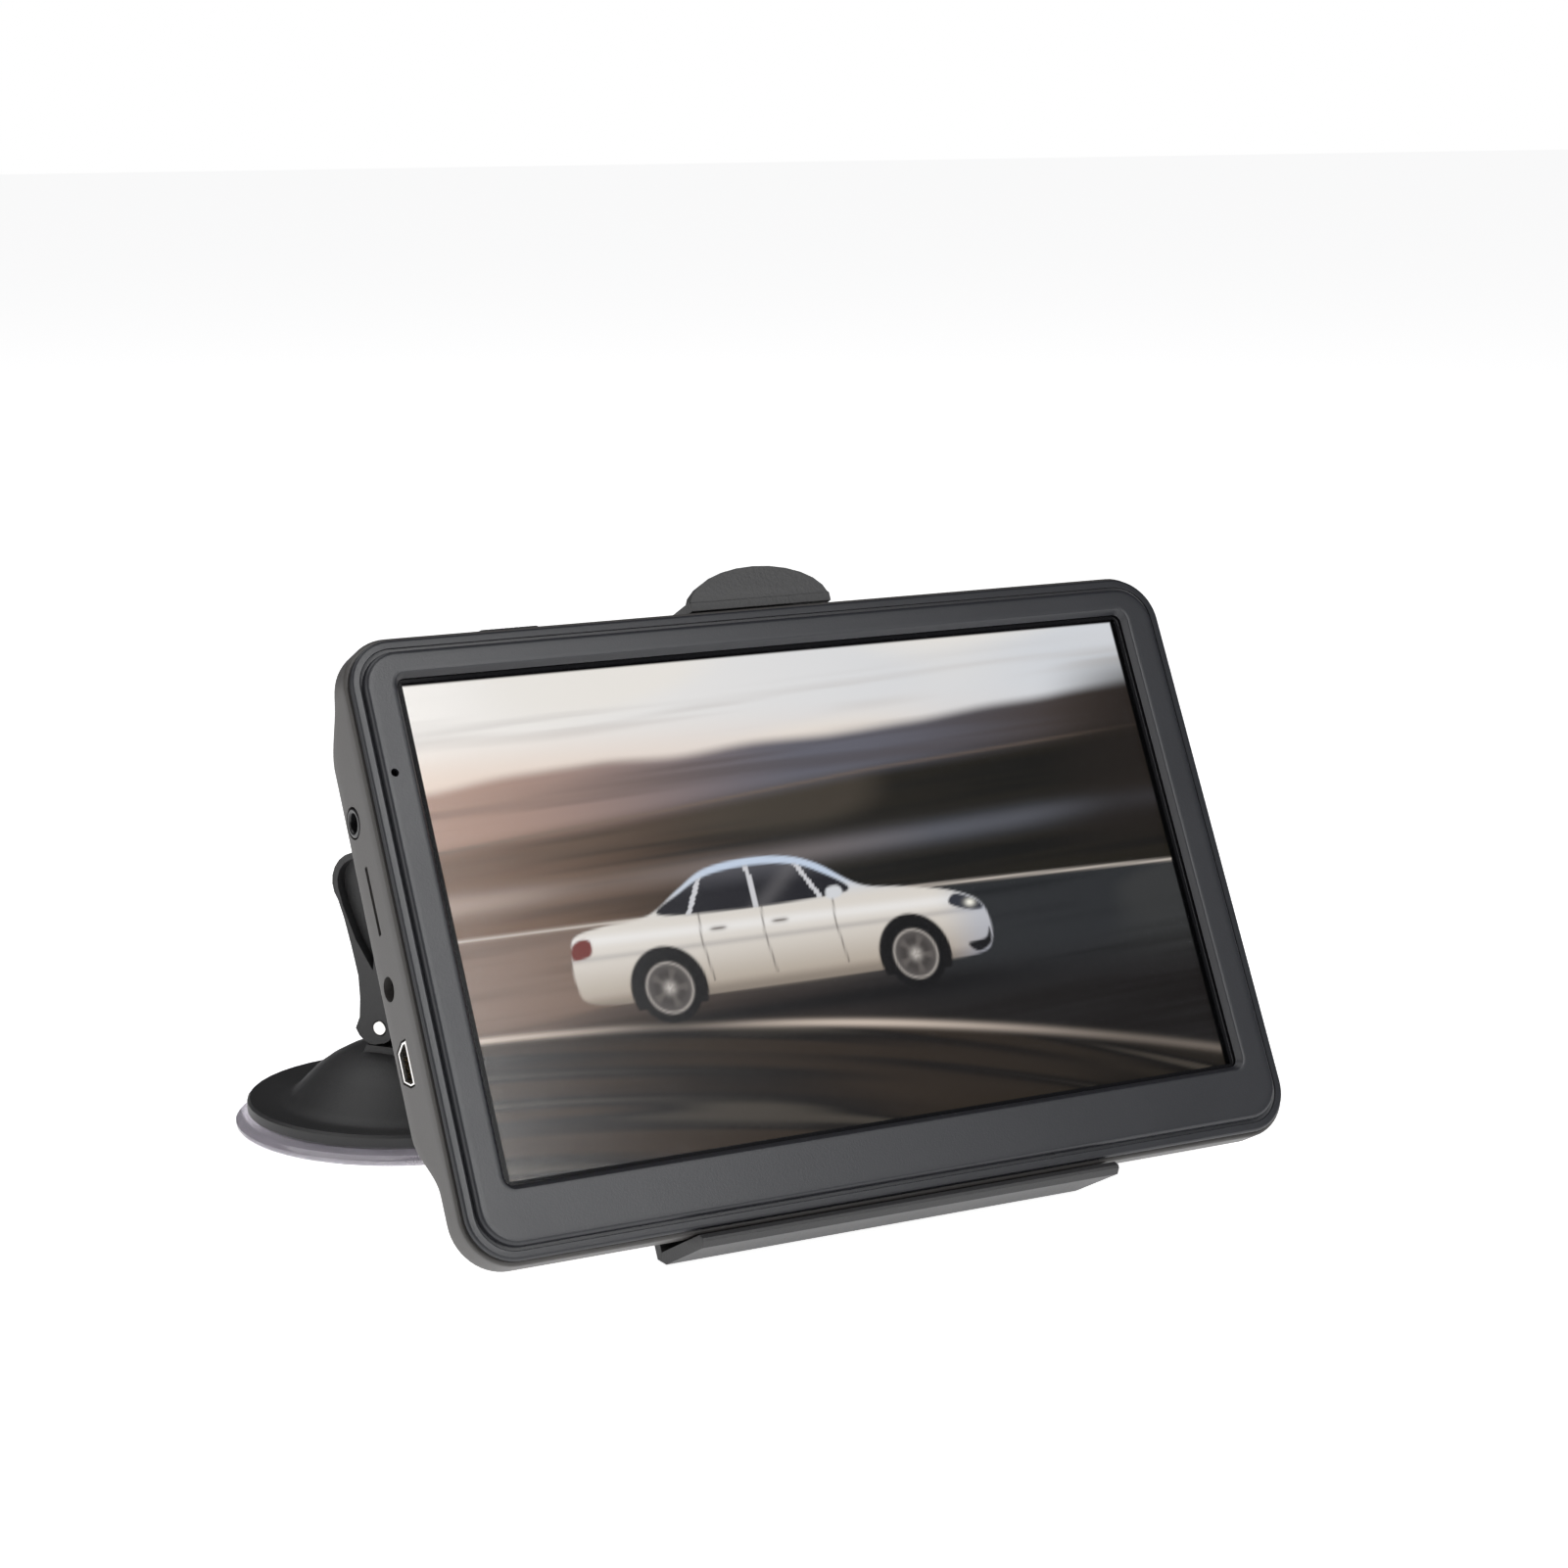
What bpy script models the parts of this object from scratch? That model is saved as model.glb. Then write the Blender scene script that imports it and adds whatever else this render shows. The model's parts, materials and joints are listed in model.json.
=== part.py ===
"""Portable navigator in a clip-on cradle, held by an arm on a lever-locked suction base.

Lengths are millimetres and turn into metres where a mesh is made. Three frames are used: the world, whose
origin is the centre of the suction pad's underside; the unit frame, which leans back with the screen (X along
it, Y away from the user, Z up it, origin at the window's centre); and the arm frame, turned about Z so that
its X runs away from the unit, in the plane of the arm and the lock lever.
"""

import math

import bmesh
import bpy
import numpy as np
from mathutils import Matrix, Vector

MM = 0.001
CLEARANCE = 0.3  # between pieces that touch

# ---- driving dimensions ----
LEAN = math.radians(27.16)  # the screen leans back by this much
WINDOW_CENTRE = (45.4, -92.3, 61.75)  # from the centre of the pad's underside
HOUSING_HALF_WIDTH, HOUSING_TOP, HOUSING_BOTTOM = 87.0, 54.0, -59.6
PLATE_HALF_WIDTH, PLATE_TOP, PLATE_BOTTOM = 84.1, 50.9, -56.5
WINDOW_HALF_WIDTH, WINDOW_HALF_HEIGHT = 77.5, 46.0
FACE_Y = -1.8  # front face of the bezel; the touch panel lies at 0
SEAM_Y = 0.6  # front edge of the rear shell
EDGE_DEPTH, MIDDLE_DEPTH = 6.8, 13.7  # rear shell at its top and bottom ends, and between them
WALL = 1.6
PORT_Y = 9.0  # centre line of the sockets on the left side
PAD_RADIUS, PAD_HEIGHT = 34.1, 2.2
FLANGE_RADIUS = 31.7
PIN_HEIGHT = 20.8
LEVER_HALF_WIDTH = 9.0
PAD_LIFT = 2.4  # rise of the pull stem at the end of the lever's stroke
LEVER_STROKE = math.radians(80)
BALL_RADIUS = 7.5
BALL = (0.0, 30.0, -8.0)  # in the unit frame
ARM_PIVOT = (-17.0, 0.0, 19.5)  # in the arm frame

UNIT = Matrix.Translation(Vector(WINDOW_CENTRE)) @ Matrix.Rotation(-LEAN, 4, "X")
BALL_WORLD = UNIT @ Vector(BALL)
ARM_YAW = math.atan2(BALL_WORLD.x, -BALL_WORLD.y)
ARM = Matrix.Rotation(math.pi / 2 + ARM_YAW, 4, "Z")

for old in list(bpy.data.objects):
    bpy.data.objects.remove(old, do_unlink=True)


# ---- finishes ----
def finish(name, colour, roughness, metallic=0.0):
    material = bpy.data.materials.new(name)
    material.use_nodes = True
    shader = material.node_tree.nodes["Principled BSDF"]
    shader.inputs["Base Color"].default_value = (*colour, 1.0)
    shader.inputs["Roughness"].default_value = roughness
    shader.inputs["Metallic"].default_value = metallic
    return material


SATIN_BLACK = finish("satin_black", (0.055, 0.056, 0.062), 0.42)
WARM_GREY = finish("warm_grey", (0.105, 0.098, 0.095), 0.5)
FINE_BLACK = finish("fine_black", (0.045, 0.045, 0.047), 0.6)
CLEAR_VINYL = finish("clear_vinyl", (0.78, 0.74, 0.80), 0.15)
SCREEN_GLASS = finish("screen_glass", (0.35, 0.30, 0.26), 0.1)
DISPLAY = finish("display", (0.30, 0.24, 0.20), 0.3)
BRIGHT_STEEL = finish("bright_steel", (0.72, 0.72, 0.72), 0.25, 1.0)
DARK_PLASTIC = finish("dark_plastic", (0.02, 0.02, 0.022), 0.45)
BOARD_GREEN = finish("board_green", (0.03, 0.14, 0.06), 0.5)
CELL_SILVER = finish("cell_silver", (0.55, 0.56, 0.58), 0.4, 0.3)
CERAMIC = finish("ceramic", (0.62, 0.58, 0.50), 0.6)
RIBBON_AMBER = finish("ribbon_amber", (0.45, 0.22, 0.05), 0.4)


# ---- frames as empties ----
def empty(name, matrix):
    holder = bpy.data.objects.new(name, None)
    bpy.context.scene.collection.objects.link(holder)
    holder.location = matrix.to_translation() * MM
    holder.rotation_euler = matrix.to_euler()
    return holder


unit_frame = empty("unit_frame", UNIT)
arm_frame = empty("arm_frame", ARM)


# ---- mesh makers ----
def solid(name, verts, faces, material, parent=None, origin=(0, 0, 0), flat=30):
    """One closed mesh from points in millimetres; origin is where the object's own origin goes."""
    origin = Vector(origin)
    mesh = bpy.data.meshes.new(name)
    mesh.from_pydata([(Vector(v) - origin) * MM for v in verts], [], [list(map(int, f)) for f in faces])
    shape = bmesh.new()
    shape.from_mesh(mesh)
    bmesh.ops.recalc_face_normals(shape, faces=shape.faces)
    shape.to_mesh(mesh)
    shape.free()
    mesh.shade_smooth()
    mesh.set_sharp_from_angle(angle=math.radians(flat))
    mesh.materials.append(material)
    piece = bpy.data.objects.new(name, mesh)
    bpy.context.scene.collection.objects.link(piece)
    piece.location = origin * MM
    piece.parent = parent
    return piece


def lofted(name, rings, material, ends=True, **place):
    """Joins rings of equal point counts; with ends, closes the first and last, else joins last to first."""
    rings = [np.asarray(r, float) for r in rings]
    count, size = len(rings), len(rings[0])
    faces = []
    for i in range(count if not ends else count - 1):
        a, b = i * size, ((i + 1) % count) * size
        for j in range(size):
            k = (j + 1) % size
            faces.append((a + j, a + k, b + k, b + j))
    if ends:
        faces.append(tuple(range(size)))
        faces.append(tuple(range((count - 1) * size, count * size)))
    return solid(name, np.vstack(rings), faces, material, **place)


def rounded_rectangle(left, right, low, high, radius, steps=5):
    """Outline points, anticlockwise from the right end of the lower edge, with arcs at its four corners."""
    points = []
    for cx, cz, start in (
        (right - radius, low + radius, -90),
        (right - radius, high - radius, 0),
        (left + radius, high - radius, 90),
        (left + radius, low + radius, 180),
    ):
        for step in range(steps + 1):
            a = math.radians(start + 90 * step / steps)
            points.append((cx + radius * math.cos(a), cz + radius * math.sin(a)))
    return np.array(points)


def standing(outline, y):
    """An outline in X and Z, placed at depth y."""
    return np.column_stack([outline[:, 0], np.full(len(outline), y), outline[:, 1]])


def extruded(name, outline, axis, low, high, material, **place):
    """A flat outline carried straight along axis 0, 1 or 2; its two columns are the other axes in order."""
    outline = np.asarray(outline, float)
    ends = [np.insert(outline, axis, at, axis=1) for at in (low, high)]
    return lofted(name, ends, material, **place)


def block(name, low, high, material, **place):
    outline = [(low[0], low[1]), (high[0], low[1]), (high[0], high[1]), (low[0], high[1])]
    return extruded(name, outline, 2, low[2], high[2], material, **place)


def turned(name, profile, material, steps=32, turn=None, **place):
    """Revolves (radius, height) points about Z, then moves the result by the matrix turn."""
    angles = np.arange(steps) * 2 * math.pi / steps
    verts, rows = [], []
    for radius, height in profile:
        if radius == 0:
            rows.append([len(verts)] * steps)
            verts.append((0, 0, height))
        else:
            rows.append(list(range(len(verts), len(verts) + steps)))
            verts += [(radius * math.cos(a), radius * math.sin(a), height) for a in angles]
    faces = []
    for low, high in zip(rows, rows[1:] + rows[:1]):
        for j in range(steps):
            k = (j + 1) % steps
            face = list(dict.fromkeys((low[j], low[k], high[k], high[j])))
            if len(face) > 2:
                faces.append(face)
    if turn is not None:
        verts = [turn @ Vector(v) for v in verts]
    return solid(name, verts, faces, material, **place)


def along(point, direction):
    """Matrix that carries Z to direction and the origin to point."""
    return Matrix.Translation(Vector(point)) @ Vector(direction).to_track_quat("Z", "Y").to_matrix().to_4x4()


def rod(name, start, end, radius, material, steps=24, **place):
    start, end = Vector(start), Vector(end)
    length = (end - start).length
    profile = [(0, 0), (radius, 0), (radius, length), (0, length)]
    return turned(name, profile, material, steps, along(start, end - start), **place)


def tool(piece):
    """Marks a piece as a guide for a Boolean, so that it isn't part of the model."""
    piece.hide_render = True
    piece.display_type = "WIRE"
    return piece


def boolean(piece, other, operation):
    step = piece.modifiers.new(other.name, "BOOLEAN")
    step.operation = operation
    step.solver = "EXACT"
    step.object = tool(other)


def cut(piece, *others):
    for other in others:
        boolean(piece, other, "DIFFERENCE")


def add(piece, *others):
    for other in others:
        boolean(piece, other, "UNION")


in_unit = {"parent": unit_frame}
in_arm = {"parent": arm_frame}


# ---- housing: front bezel ----
def inset(outline_size, by):
    """The plate's, band's or window's outline, drawn in by a distance."""
    left, right, low, high, radius = outline_size
    return rounded_rectangle(left + by, right - by, low + by, high - by, max(radius - by, 0.3))


PLATE = (-PLATE_HALF_WIDTH, PLATE_HALF_WIDTH, PLATE_BOTTOM, PLATE_TOP, 7.0)
HOUSING = (-HOUSING_HALF_WIDTH, HOUSING_HALF_WIDTH, HOUSING_BOTTOM, HOUSING_TOP, 9.5)
WINDOW = (-WINDOW_HALF_WIDTH, WINDOW_HALF_WIDTH, -WINDOW_HALF_HEIGHT, WINDOW_HALF_HEIGHT, 1.6)
BACK_Y = FACE_Y + 1.45  # rear face of the bezel's front wall
SKIRT_Y = 1.9
BOSS_Y = 4.9
BOSSES = [(x, z) for x in (-74.0, 74.0) for z in (-54.4, 49.0)]

bezel_section = [
    (PLATE, 0.8, FACE_Y),
    (PLATE, 0.25, FACE_Y + 0.22),
    (PLATE, 0.0, FACE_Y + 0.8),
    (PLATE, 0.0, FACE_Y + 1.35),  # bottom of the groove round the raised plate
    (PLATE, -0.45, FACE_Y + 1.35),
    (HOUSING, 2.3, FACE_Y + 0.95),
    (HOUSING, 1.1, FACE_Y + 1.1),
    (HOUSING, 0.75, FACE_Y + 1.5),
    (HOUSING, 0.75, FACE_Y + 2.0),
    (HOUSING, 2.0, FACE_Y + 2.0),  # shoulder that closes the rear shell
    (HOUSING, 2.0, SKIRT_Y),
    (HOUSING, 3.2, SKIRT_Y),
    (HOUSING, 3.2, BACK_Y),
    (WINDOW, -0.1, BACK_Y),
    (WINDOW, 0.0, BACK_Y - 0.1),
    (WINDOW, -0.7, FACE_Y + 0.12),
    (WINDOW, -0.95, FACE_Y),
]
front_bezel = lofted(
    "front_bezel",
    [standing(inset(size, by), y) for size, by, y in bezel_section],
    SATIN_BLACK,
    ends=False,
    **in_unit,
)
MICROPHONE = (-82.0, 28.7)
BOSS_RADIUS, PILOT_RADIUS = 1.6, 0.8
boss_section = [
    (0, BACK_Y - 0.3),
    (BOSS_RADIUS, BACK_Y - 0.3),
    (BOSS_RADIUS, BOSS_Y),
    (PILOT_RADIUS, BOSS_Y),
    (PILOT_RADIUS, 0.5),
    (0, 0.5),
]
for i, (x, z) in enumerate(BOSSES):
    add(front_bezel, turned(f"boss_{i}", boss_section, SATIN_BLACK, 12, along((x, 0, z), (0, 1, 0)), **in_unit))
sound_hole = [(MICROPHONE[0], y, MICROPHONE[1]) for y in (-3, 0)]
cut(front_bezel, rod("sound_hole", *sound_hole, 0.75, SATIN_BLACK, 12, **in_unit))


# ---- housing: rear shell, deep between two shallow ends ----
def side_profile(by):
    """Depth of the shell against height: shallow ends and a deep middle joined by slopes; by draws it in."""
    rows = [
        (-70.0, EDGE_DEPTH),
        (-44.0, EDGE_DEPTH),
        (-41.0, EDGE_DEPTH + 1.2),
        (-36.6, MIDDLE_DEPTH - 1.4),
        (-33.6, MIDDLE_DEPTH),
        (34.6, MIDDLE_DEPTH - 0.6),
        (38.0, MIDDLE_DEPTH - 1.4),
        (42.6, EDGE_DEPTH + 1.2),
        (45.6, EDGE_DEPTH),
        (70.0, EDGE_DEPTH),
    ]
    inward = [(z + (by if i < 5 else -by) * (0 < i < len(rows) - 1), y - by) for i, (z, y) in enumerate(rows)]
    return [(-30.0, -70.0), *((y, z) for z, y in inward), (-30.0, 70.0)]


def shell_form(name, by, front):
    """The housing's outline carried back from the seam, then trimmed to the side profile."""
    sections = [(by + 0.4, front), (by, front + 0.4), (by, MIDDLE_DEPTH + 1.0)]
    form = lofted(name, [standing(inset(HOUSING, b), y) for b, y in sections], WARM_GREY, **in_unit)
    boolean(form, extruded(f"{name}_depth", side_profile(by), 0, -120, 120, WARM_GREY, **in_unit), "INTERSECT")
    return form


rear_shell = shell_form("rear_shell", 0.0, SEAM_Y)
cut(rear_shell, shell_form("rear_hollow", WALL, SEAM_Y - 2))

JACK_Z, CARD_Z, ROUND_Z, USB_Z = 23.2, 8.5, -7.2, -20.9
LEFT = -HOUSING_HALF_WIDTH
USB_OUTLINE = [(6.9, -3.9), (8.5, -3.9), (11.1, -2.6), (11.1, 2.6), (8.5, 3.9), (6.9, 3.9)]  # depth, height


def side_tool(name, outline, z, grow=0.0):
    centre = np.mean(outline, axis=0)
    points = [(y + grow * math.copysign(1, y - centre[0]), z + h + grow * math.copysign(1, h)) for y, h in outline]
    return extruded(name, points, 0, LEFT - 4, LEFT + 4, WARM_GREY, **in_unit)


CARD_OUTLINE = [(7.2, -6.3), (8.3, -6.3), (8.3, 6.3), (7.2, 6.3)]
cut(
    rear_shell,
    rod("jack_opening", (LEFT - 4, PORT_Y, JACK_Z), (LEFT + 4, PORT_Y, JACK_Z), 2.95, WARM_GREY, 24, **in_unit),
    rod("round_opening", (LEFT - 4, PORT_Y, ROUND_Z), (LEFT + 4, PORT_Y, ROUND_Z), 2.25, WARM_GREY, 24, **in_unit),
    side_tool("card_opening", CARD_OUTLINE, CARD_Z),
    side_tool("usb_opening", USB_OUTLINE, USB_Z, 0.35),
)
POWER_BUTTON_X, POWER_BUTTON_HALF = -52.0, 6.0
SPEAKER = (48.0, 21.0)
cut(
    rear_shell,
    block(
        "button_opening",
        (POWER_BUTTON_X - POWER_BUTTON_HALF - CLEARANCE, 2.3 - CLEARANCE, HOUSING_TOP - 4),
        (POWER_BUTTON_X + POWER_BUTTON_HALF + CLEARANCE, 4.7 + CLEARANCE, HOUSING_TOP + 4),
        WARM_GREY,
        **in_unit,
    ),
    *(
        block(f"slot_{i}", (SPEAKER[0] - w, 9, SPEAKER[1] + h - 0.6), (SPEAKER[0] + w, 20, SPEAKER[1] + h + 0.6), WARM_GREY, **in_unit)
        for i, (h, w) in enumerate([(-6, 5.5), (-3, 8), (0, 9), (3, 8), (6, 5.5)])
    ),
    *(rod(f"screw_hole_{i}", (x, 4, z), (x, 10, z), 0.95, WARM_GREY, 12, **in_unit) for i, (x, z) in enumerate(BOSSES)),
)

# ---- inside the housing ----
touch_panel = block("touch_panel", (-80.0, 0.0, -48.2), (80.0, 1.0, 47.0), SCREEN_GLASS, **in_unit)
lcd_panel = block("lcd_panel", (-80.5, 1.3, -50.0), (80.5, 4.6, 47.0), DISPLAY, **in_unit)
main_pcb = block("main_pcb", (-84.6, 5.0, -32.0), (18.0, 6.2, 34.0), BOARD_GREEN, **in_unit)
shield_can = block("shield_can", (-52.0, 6.5, -22.0), (-16.0, 9.0, 8.0), BRIGHT_STEEL, **in_unit)
gps_antenna = block("gps_antenna", (-28.0, 6.5, 13.0), (-10.0, 10.5, 31.0), CERAMIC, **in_unit)
battery_cell = extruded(
    "battery_cell", rounded_rectangle(22.0, 80.0, -31.0, 4.0, 2.0, 3), 1, 5.2, 10.4, CELL_SILVER, **in_unit
)
loudspeaker = turned(
    "loudspeaker",
    [(0, 0), (11.0, 0), (11.0, 1.6), (7.0, 1.6), (7.0, 4.6), (0, 4.6)],
    DARK_PLASTIC,
    turn=along((SPEAKER[0], 11.0, SPEAKER[1]), (0, -1, 0)),
    **in_unit,
)
microphone = rod(
    "microphone",
    (MICROPHONE[0], BACK_Y + CLEARANCE, MICROPHONE[1]),
    (MICROPHONE[0], 1.0, MICROPHONE[1]),
    1.5,
    DARK_PLASTIC,
    16,
    **in_unit,
)
display_ribbon = extruded(
    "display_ribbon",
    [(4.9, -36.4), (4.9, -36.8), (6.9, -36.8), (6.9, -26.0), (6.5, -26.0), (6.5, -36.4)],
    0,
    -12.0,
    12.0,
    RIBBON_AMBER,
    **in_unit,
)

# ---- sockets on the left side ----
earphone_jack = turned(
    "earphone_jack",
    [(0, -12), (2.4, -12), (2.4, -1.9), (2.65, -1.9), (2.65, -0.1), (2.4, 0.1), (1.85, 0.1), (1.75, 0), (1.75, -10), (0, -10)],
    DARK_PLASTIC,
    24,
    along((LEFT, PORT_Y, JACK_Z), (-1, 0, 0)),
    **in_unit,
)
av_jack = turned(
    "av_jack",
    [(0, -10), (2.4, -10), (2.4, -WALL - CLEARANCE), (1.9, -WALL - CLEARANCE), (1.9, -8.5), (0, -8.5)],
    DARK_PLASTIC,
    24,
    along((LEFT, PORT_Y, ROUND_Z), (-1, 0, 0)),
    **in_unit,
)
card_socket = block(
    "card_socket", (LEFT + WALL + CLEARANCE, 6.55, CARD_Z - 7.2), (LEFT + 16, 8.9, CARD_Z + 7.2), BRIGHT_STEEL, **in_unit
)
cut(
    card_socket,
    block("card_way", (LEFT - 1, 7.2, CARD_Z - 5.7), (LEFT + 15, 8.3, CARD_Z + 5.7), BRIGHT_STEEL, **in_unit),
)


def usb_ring(grow):
    centre = np.mean(USB_OUTLINE, axis=0)
    return [
        (y + grow * math.copysign(1, y - centre[0]), USB_Z + h + grow * math.copysign(1, h)) for y, h in USB_OUTLINE
    ]


usb_socket = extruded("usb_socket", usb_ring(0.0), 0, LEFT + 0.05, LEFT + 9.0, BRIGHT_STEEL, **in_unit)
cut(usb_socket, extruded("usb_way", usb_ring(-0.4), 0, LEFT - 2, LEFT + 7.5, BRIGHT_STEEL, **in_unit))
usb_tongue = block("usb_tongue", (LEFT + 1.0, 8.4, USB_Z - 2.2), (LEFT + 7.2, 9.3, USB_Z + 2.2), DARK_PLASTIC, **in_unit)

# ---- button and screws ----
power_button = block(
    "power_button",
    (POWER_BUTTON_X - POWER_BUTTON_HALF, 2.3, HOUSING_TOP - 3.2),
    (POWER_BUTTON_X + POWER_BUTTON_HALF, 4.7, HOUSING_TOP + 0.8),
    DARK_PLASTIC,
    **in_unit,
)
bevel = power_button.modifiers.new("edges", "BEVEL")
bevel.width, bevel.segments = 0.4 * MM, 2
for i, (x, z) in enumerate(BOSSES):
    turned(
        f"case_screw_{i + 1}",
        [(0, -5.6), (0.6, -5.6), (0.6, CLEARANCE), (1.7, CLEARANCE), (1.6, 0.9), (0, 1.1)],
        BRIGHT_STEEL,
        16,
        along((x, EDGE_DEPTH, z), (0, 1, 0)),
        **in_unit,
    )

# ---- cradle: back plate with the ledge that carries the unit ----
PLATE_FRONT, PLATE_BACK = MIDDLE_DEPTH + CLEARANCE + 0.1, MIDDLE_DEPTH + 2.7
LEDGE_HALF, LEDGE_FRONT = 44.0, -2.6
LEDGE_TOP, LEDGE_UNDER = HOUSING_BOTTOM - 0.4, HOUSING_BOTTOM - 2.8
cradle = extruded(
    "cradle",
    rounded_rectangle(-31.0, 31.0, -56.0, 27.0, 9.0, 4),
    1,
    PLATE_FRONT,
    PLATE_BACK,
    FINE_BLACK,
    **in_unit,
)
ledge_side = [
    (PLATE_FRONT, -48.0),
    (PLATE_FRONT, LEDGE_TOP - 0.2),
    (PLATE_FRONT - 0.2, LEDGE_TOP),
    (LEDGE_FRONT + 1.0, LEDGE_TOP),
    (LEDGE_FRONT, LEDGE_TOP - 0.8),
    (LEDGE_FRONT, LEDGE_UNDER + 1.0),
    (LEDGE_FRONT + 1.0, LEDGE_UNDER),
    (13.4, LEDGE_UNDER),
    (PLATE_BACK - 0.1, LEDGE_UNDER + 1.5),
    (PLATE_BACK - 0.1, -48.0),
]
ledge = extruded("ledge", ledge_side, 0, -LEDGE_HALF, LEDGE_HALF, FINE_BLACK, **in_unit)
boolean(
    ledge,
    extruded("ledge_ends", rounded_rectangle(-LEDGE_HALF, LEDGE_HALF, LEDGE_FRONT - 6, 30.0, 6.0, 4), 2, -70, -40, FINE_BLACK, **in_unit),
    "INTERSECT",
)
add(cradle, ledge)
add(
    cradle,
    rod("stem_boss", (BALL[0], PLATE_FRONT + 0.5, BALL[2]), (BALL[0], PLATE_BACK + 1.6, BALL[2]), 12.0, FINE_BLACK, 32, **in_unit),
)
CLIP_PIVOT = (21.0, 19.2)  # height and depth, in the unit frame
CLIP_HALF = 15.0
for i, side in enumerate((-1, 1)):
    near, far = sorted((side * (CLIP_HALF + 0.4), side * (CLIP_HALF + 3.4)))
    ear = [(PLATE_FRONT + 0.5, 15.5), (21.4, 18.0), (22.0, 20.0), (21.4, 23.0), (PLATE_FRONT + 0.5, 25.5)]
    add(cradle, extruded(f"clip_ear_{i}", ear, 0, near, far, FINE_BLACK, **in_unit))
cut(
    cradle,
    rod("clip_pin_hole", (-40, CLIP_PIVOT[1], CLIP_PIVOT[0]), (40, CLIP_PIVOT[1], CLIP_PIVOT[0]), 1.35, FINE_BLACK, 16, **in_unit),
)
clip_pin = rod(
    "clip_pin",
    (-CLIP_HALF - 3.6, CLIP_PIVOT[1], CLIP_PIVOT[0]),
    (CLIP_HALF + 3.6, CLIP_PIVOT[1], CLIP_PIVOT[0]),
    1.0,
    BRIGHT_STEEL,
    16,
    **in_unit,
)

# ---- sprung clip over the top edge ----
TAB_FRONT, TAB_BACK = 1.3, 4.0
TAB_BASE, TAB_HEIGHT = HOUSING_TOP + 0.5, 8.0
clip_side = [
    (17.2, 18.4),
    (18.2, 17.2),
    (20.2, 17.2),
    (21.2, 18.4),
    (21.2, 23.4),
    (19.6, 26.0),
    (19.6, TAB_BASE + 0.2),
    (17.8, TAB_BASE + 2.0),
    (TAB_FRONT + 0.4, TAB_BASE + 2.0),
    (TAB_FRONT, TAB_BASE + 1.6),
    (TAB_FRONT, TAB_BASE),
    (16.0, TAB_BASE),
    (17.2, TAB_BASE - 1.2),
]
top_clip = extruded(
    "top_clip", clip_side, 0, -CLIP_HALF, CLIP_HALF, FINE_BLACK, origin=(0, CLIP_PIVOT[1], CLIP_PIVOT[0]), **in_unit
)
tab_outline = [(-CLIP_HALF, TAB_BASE + 0.7)] + [
    (-CLIP_HALF * math.cos(a), TAB_BASE + 0.7 + (TAB_HEIGHT - 0.7) * math.sin(a)) for a in np.linspace(0.12, math.pi - 0.12, 13)
]
tab_outline += [(CLIP_HALF, TAB_BASE + 0.7)]
add(top_clip, extruded("clip_tab", tab_outline, 1, TAB_FRONT + 0.1, TAB_BACK, FINE_BLACK, **in_unit))
cut(
    top_clip,
    rod("clip_eye", (-40, CLIP_PIVOT[1], CLIP_PIVOT[0]), (40, CLIP_PIVOT[1], CLIP_PIVOT[0]), 1.3, FINE_BLACK, 16, **in_unit),
)

# ---- ball joint behind the cradle ----
STEM_START = PLATE_BACK + 1.6 + CLEARANCE
STEM_LENGTH = BALL[1] - BALL_RADIUS - CLEARANCE - STEM_START
ball_stem = turned(
    "ball_stem",
    [(0, 0), (7.5, 0), (7.5, 1.2), (4.6, 2.0), (2.9, 2.8), (2.8, STEM_LENGTH), (0, STEM_LENGTH)],
    FINE_BLACK,
    24,
    along((BALL[0], STEM_START, BALL[2]), (0, 1, 0)),
    **in_unit,
)
BALL_ARM = ARM.inverted() @ BALL_WORLD
stem_axis = (ARM.inverted() @ UNIT).to_3x3() @ Vector((0, 1, 0))
reach = Vector(ARM_PIVOT) - BALL_ARM
socket_axis = (reach.normalized() + stem_axis.normalized()).normalized()


def sphere_arc(radius, start, end, steps):
    """Points of a turned sphere, by the angle from its lower pole."""
    return [(radius * math.sin(a), -radius * math.cos(a)) for a in np.linspace(start, end, steps)]


mount_ball = turned(
    "mount_ball",
    [(0, -BALL_RADIUS), *sphere_arc(BALL_RADIUS, 0.22, math.pi - 0.22, 12), (0, BALL_RADIUS)],
    FINE_BLACK,
    24,
    along(BALL_ARM, stem_axis),
    origin=BALL_ARM,
    **in_arm,
)

# ---- swing arm: socket for the ball, curved beam and eye for the base's pivot ----
CUP_INNER, CUP_OUTER = BALL_RADIUS + CLEARANCE, BALL_RADIUS + 3.0
cup = turned(
    "swing_arm",
    [
        (0, CUP_INNER),
        *reversed(sphere_arc(CUP_INNER, math.pi / 2 - 0.35, math.pi - 0.25, 7)),
        (CUP_OUTER - 0.6, -CUP_INNER * math.sin(0.35)),
        (CUP_OUTER, -CUP_INNER * math.sin(0.35) + 0.6),
        (CUP_OUTER, 4.0),
        (CUP_OUTER - 2.5, 9.5),
        (CUP_OUTER - 6.0, 12.5),
        (0, 13.2),
    ],
    FINE_BLACK,
    32,
    along(BALL_ARM, socket_axis),
    origin=ARM_PIVOT,
    **in_arm,
)
swing_arm = cup


EYE_RADIUS, EYE_HALF = 7.0, 5.0


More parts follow.
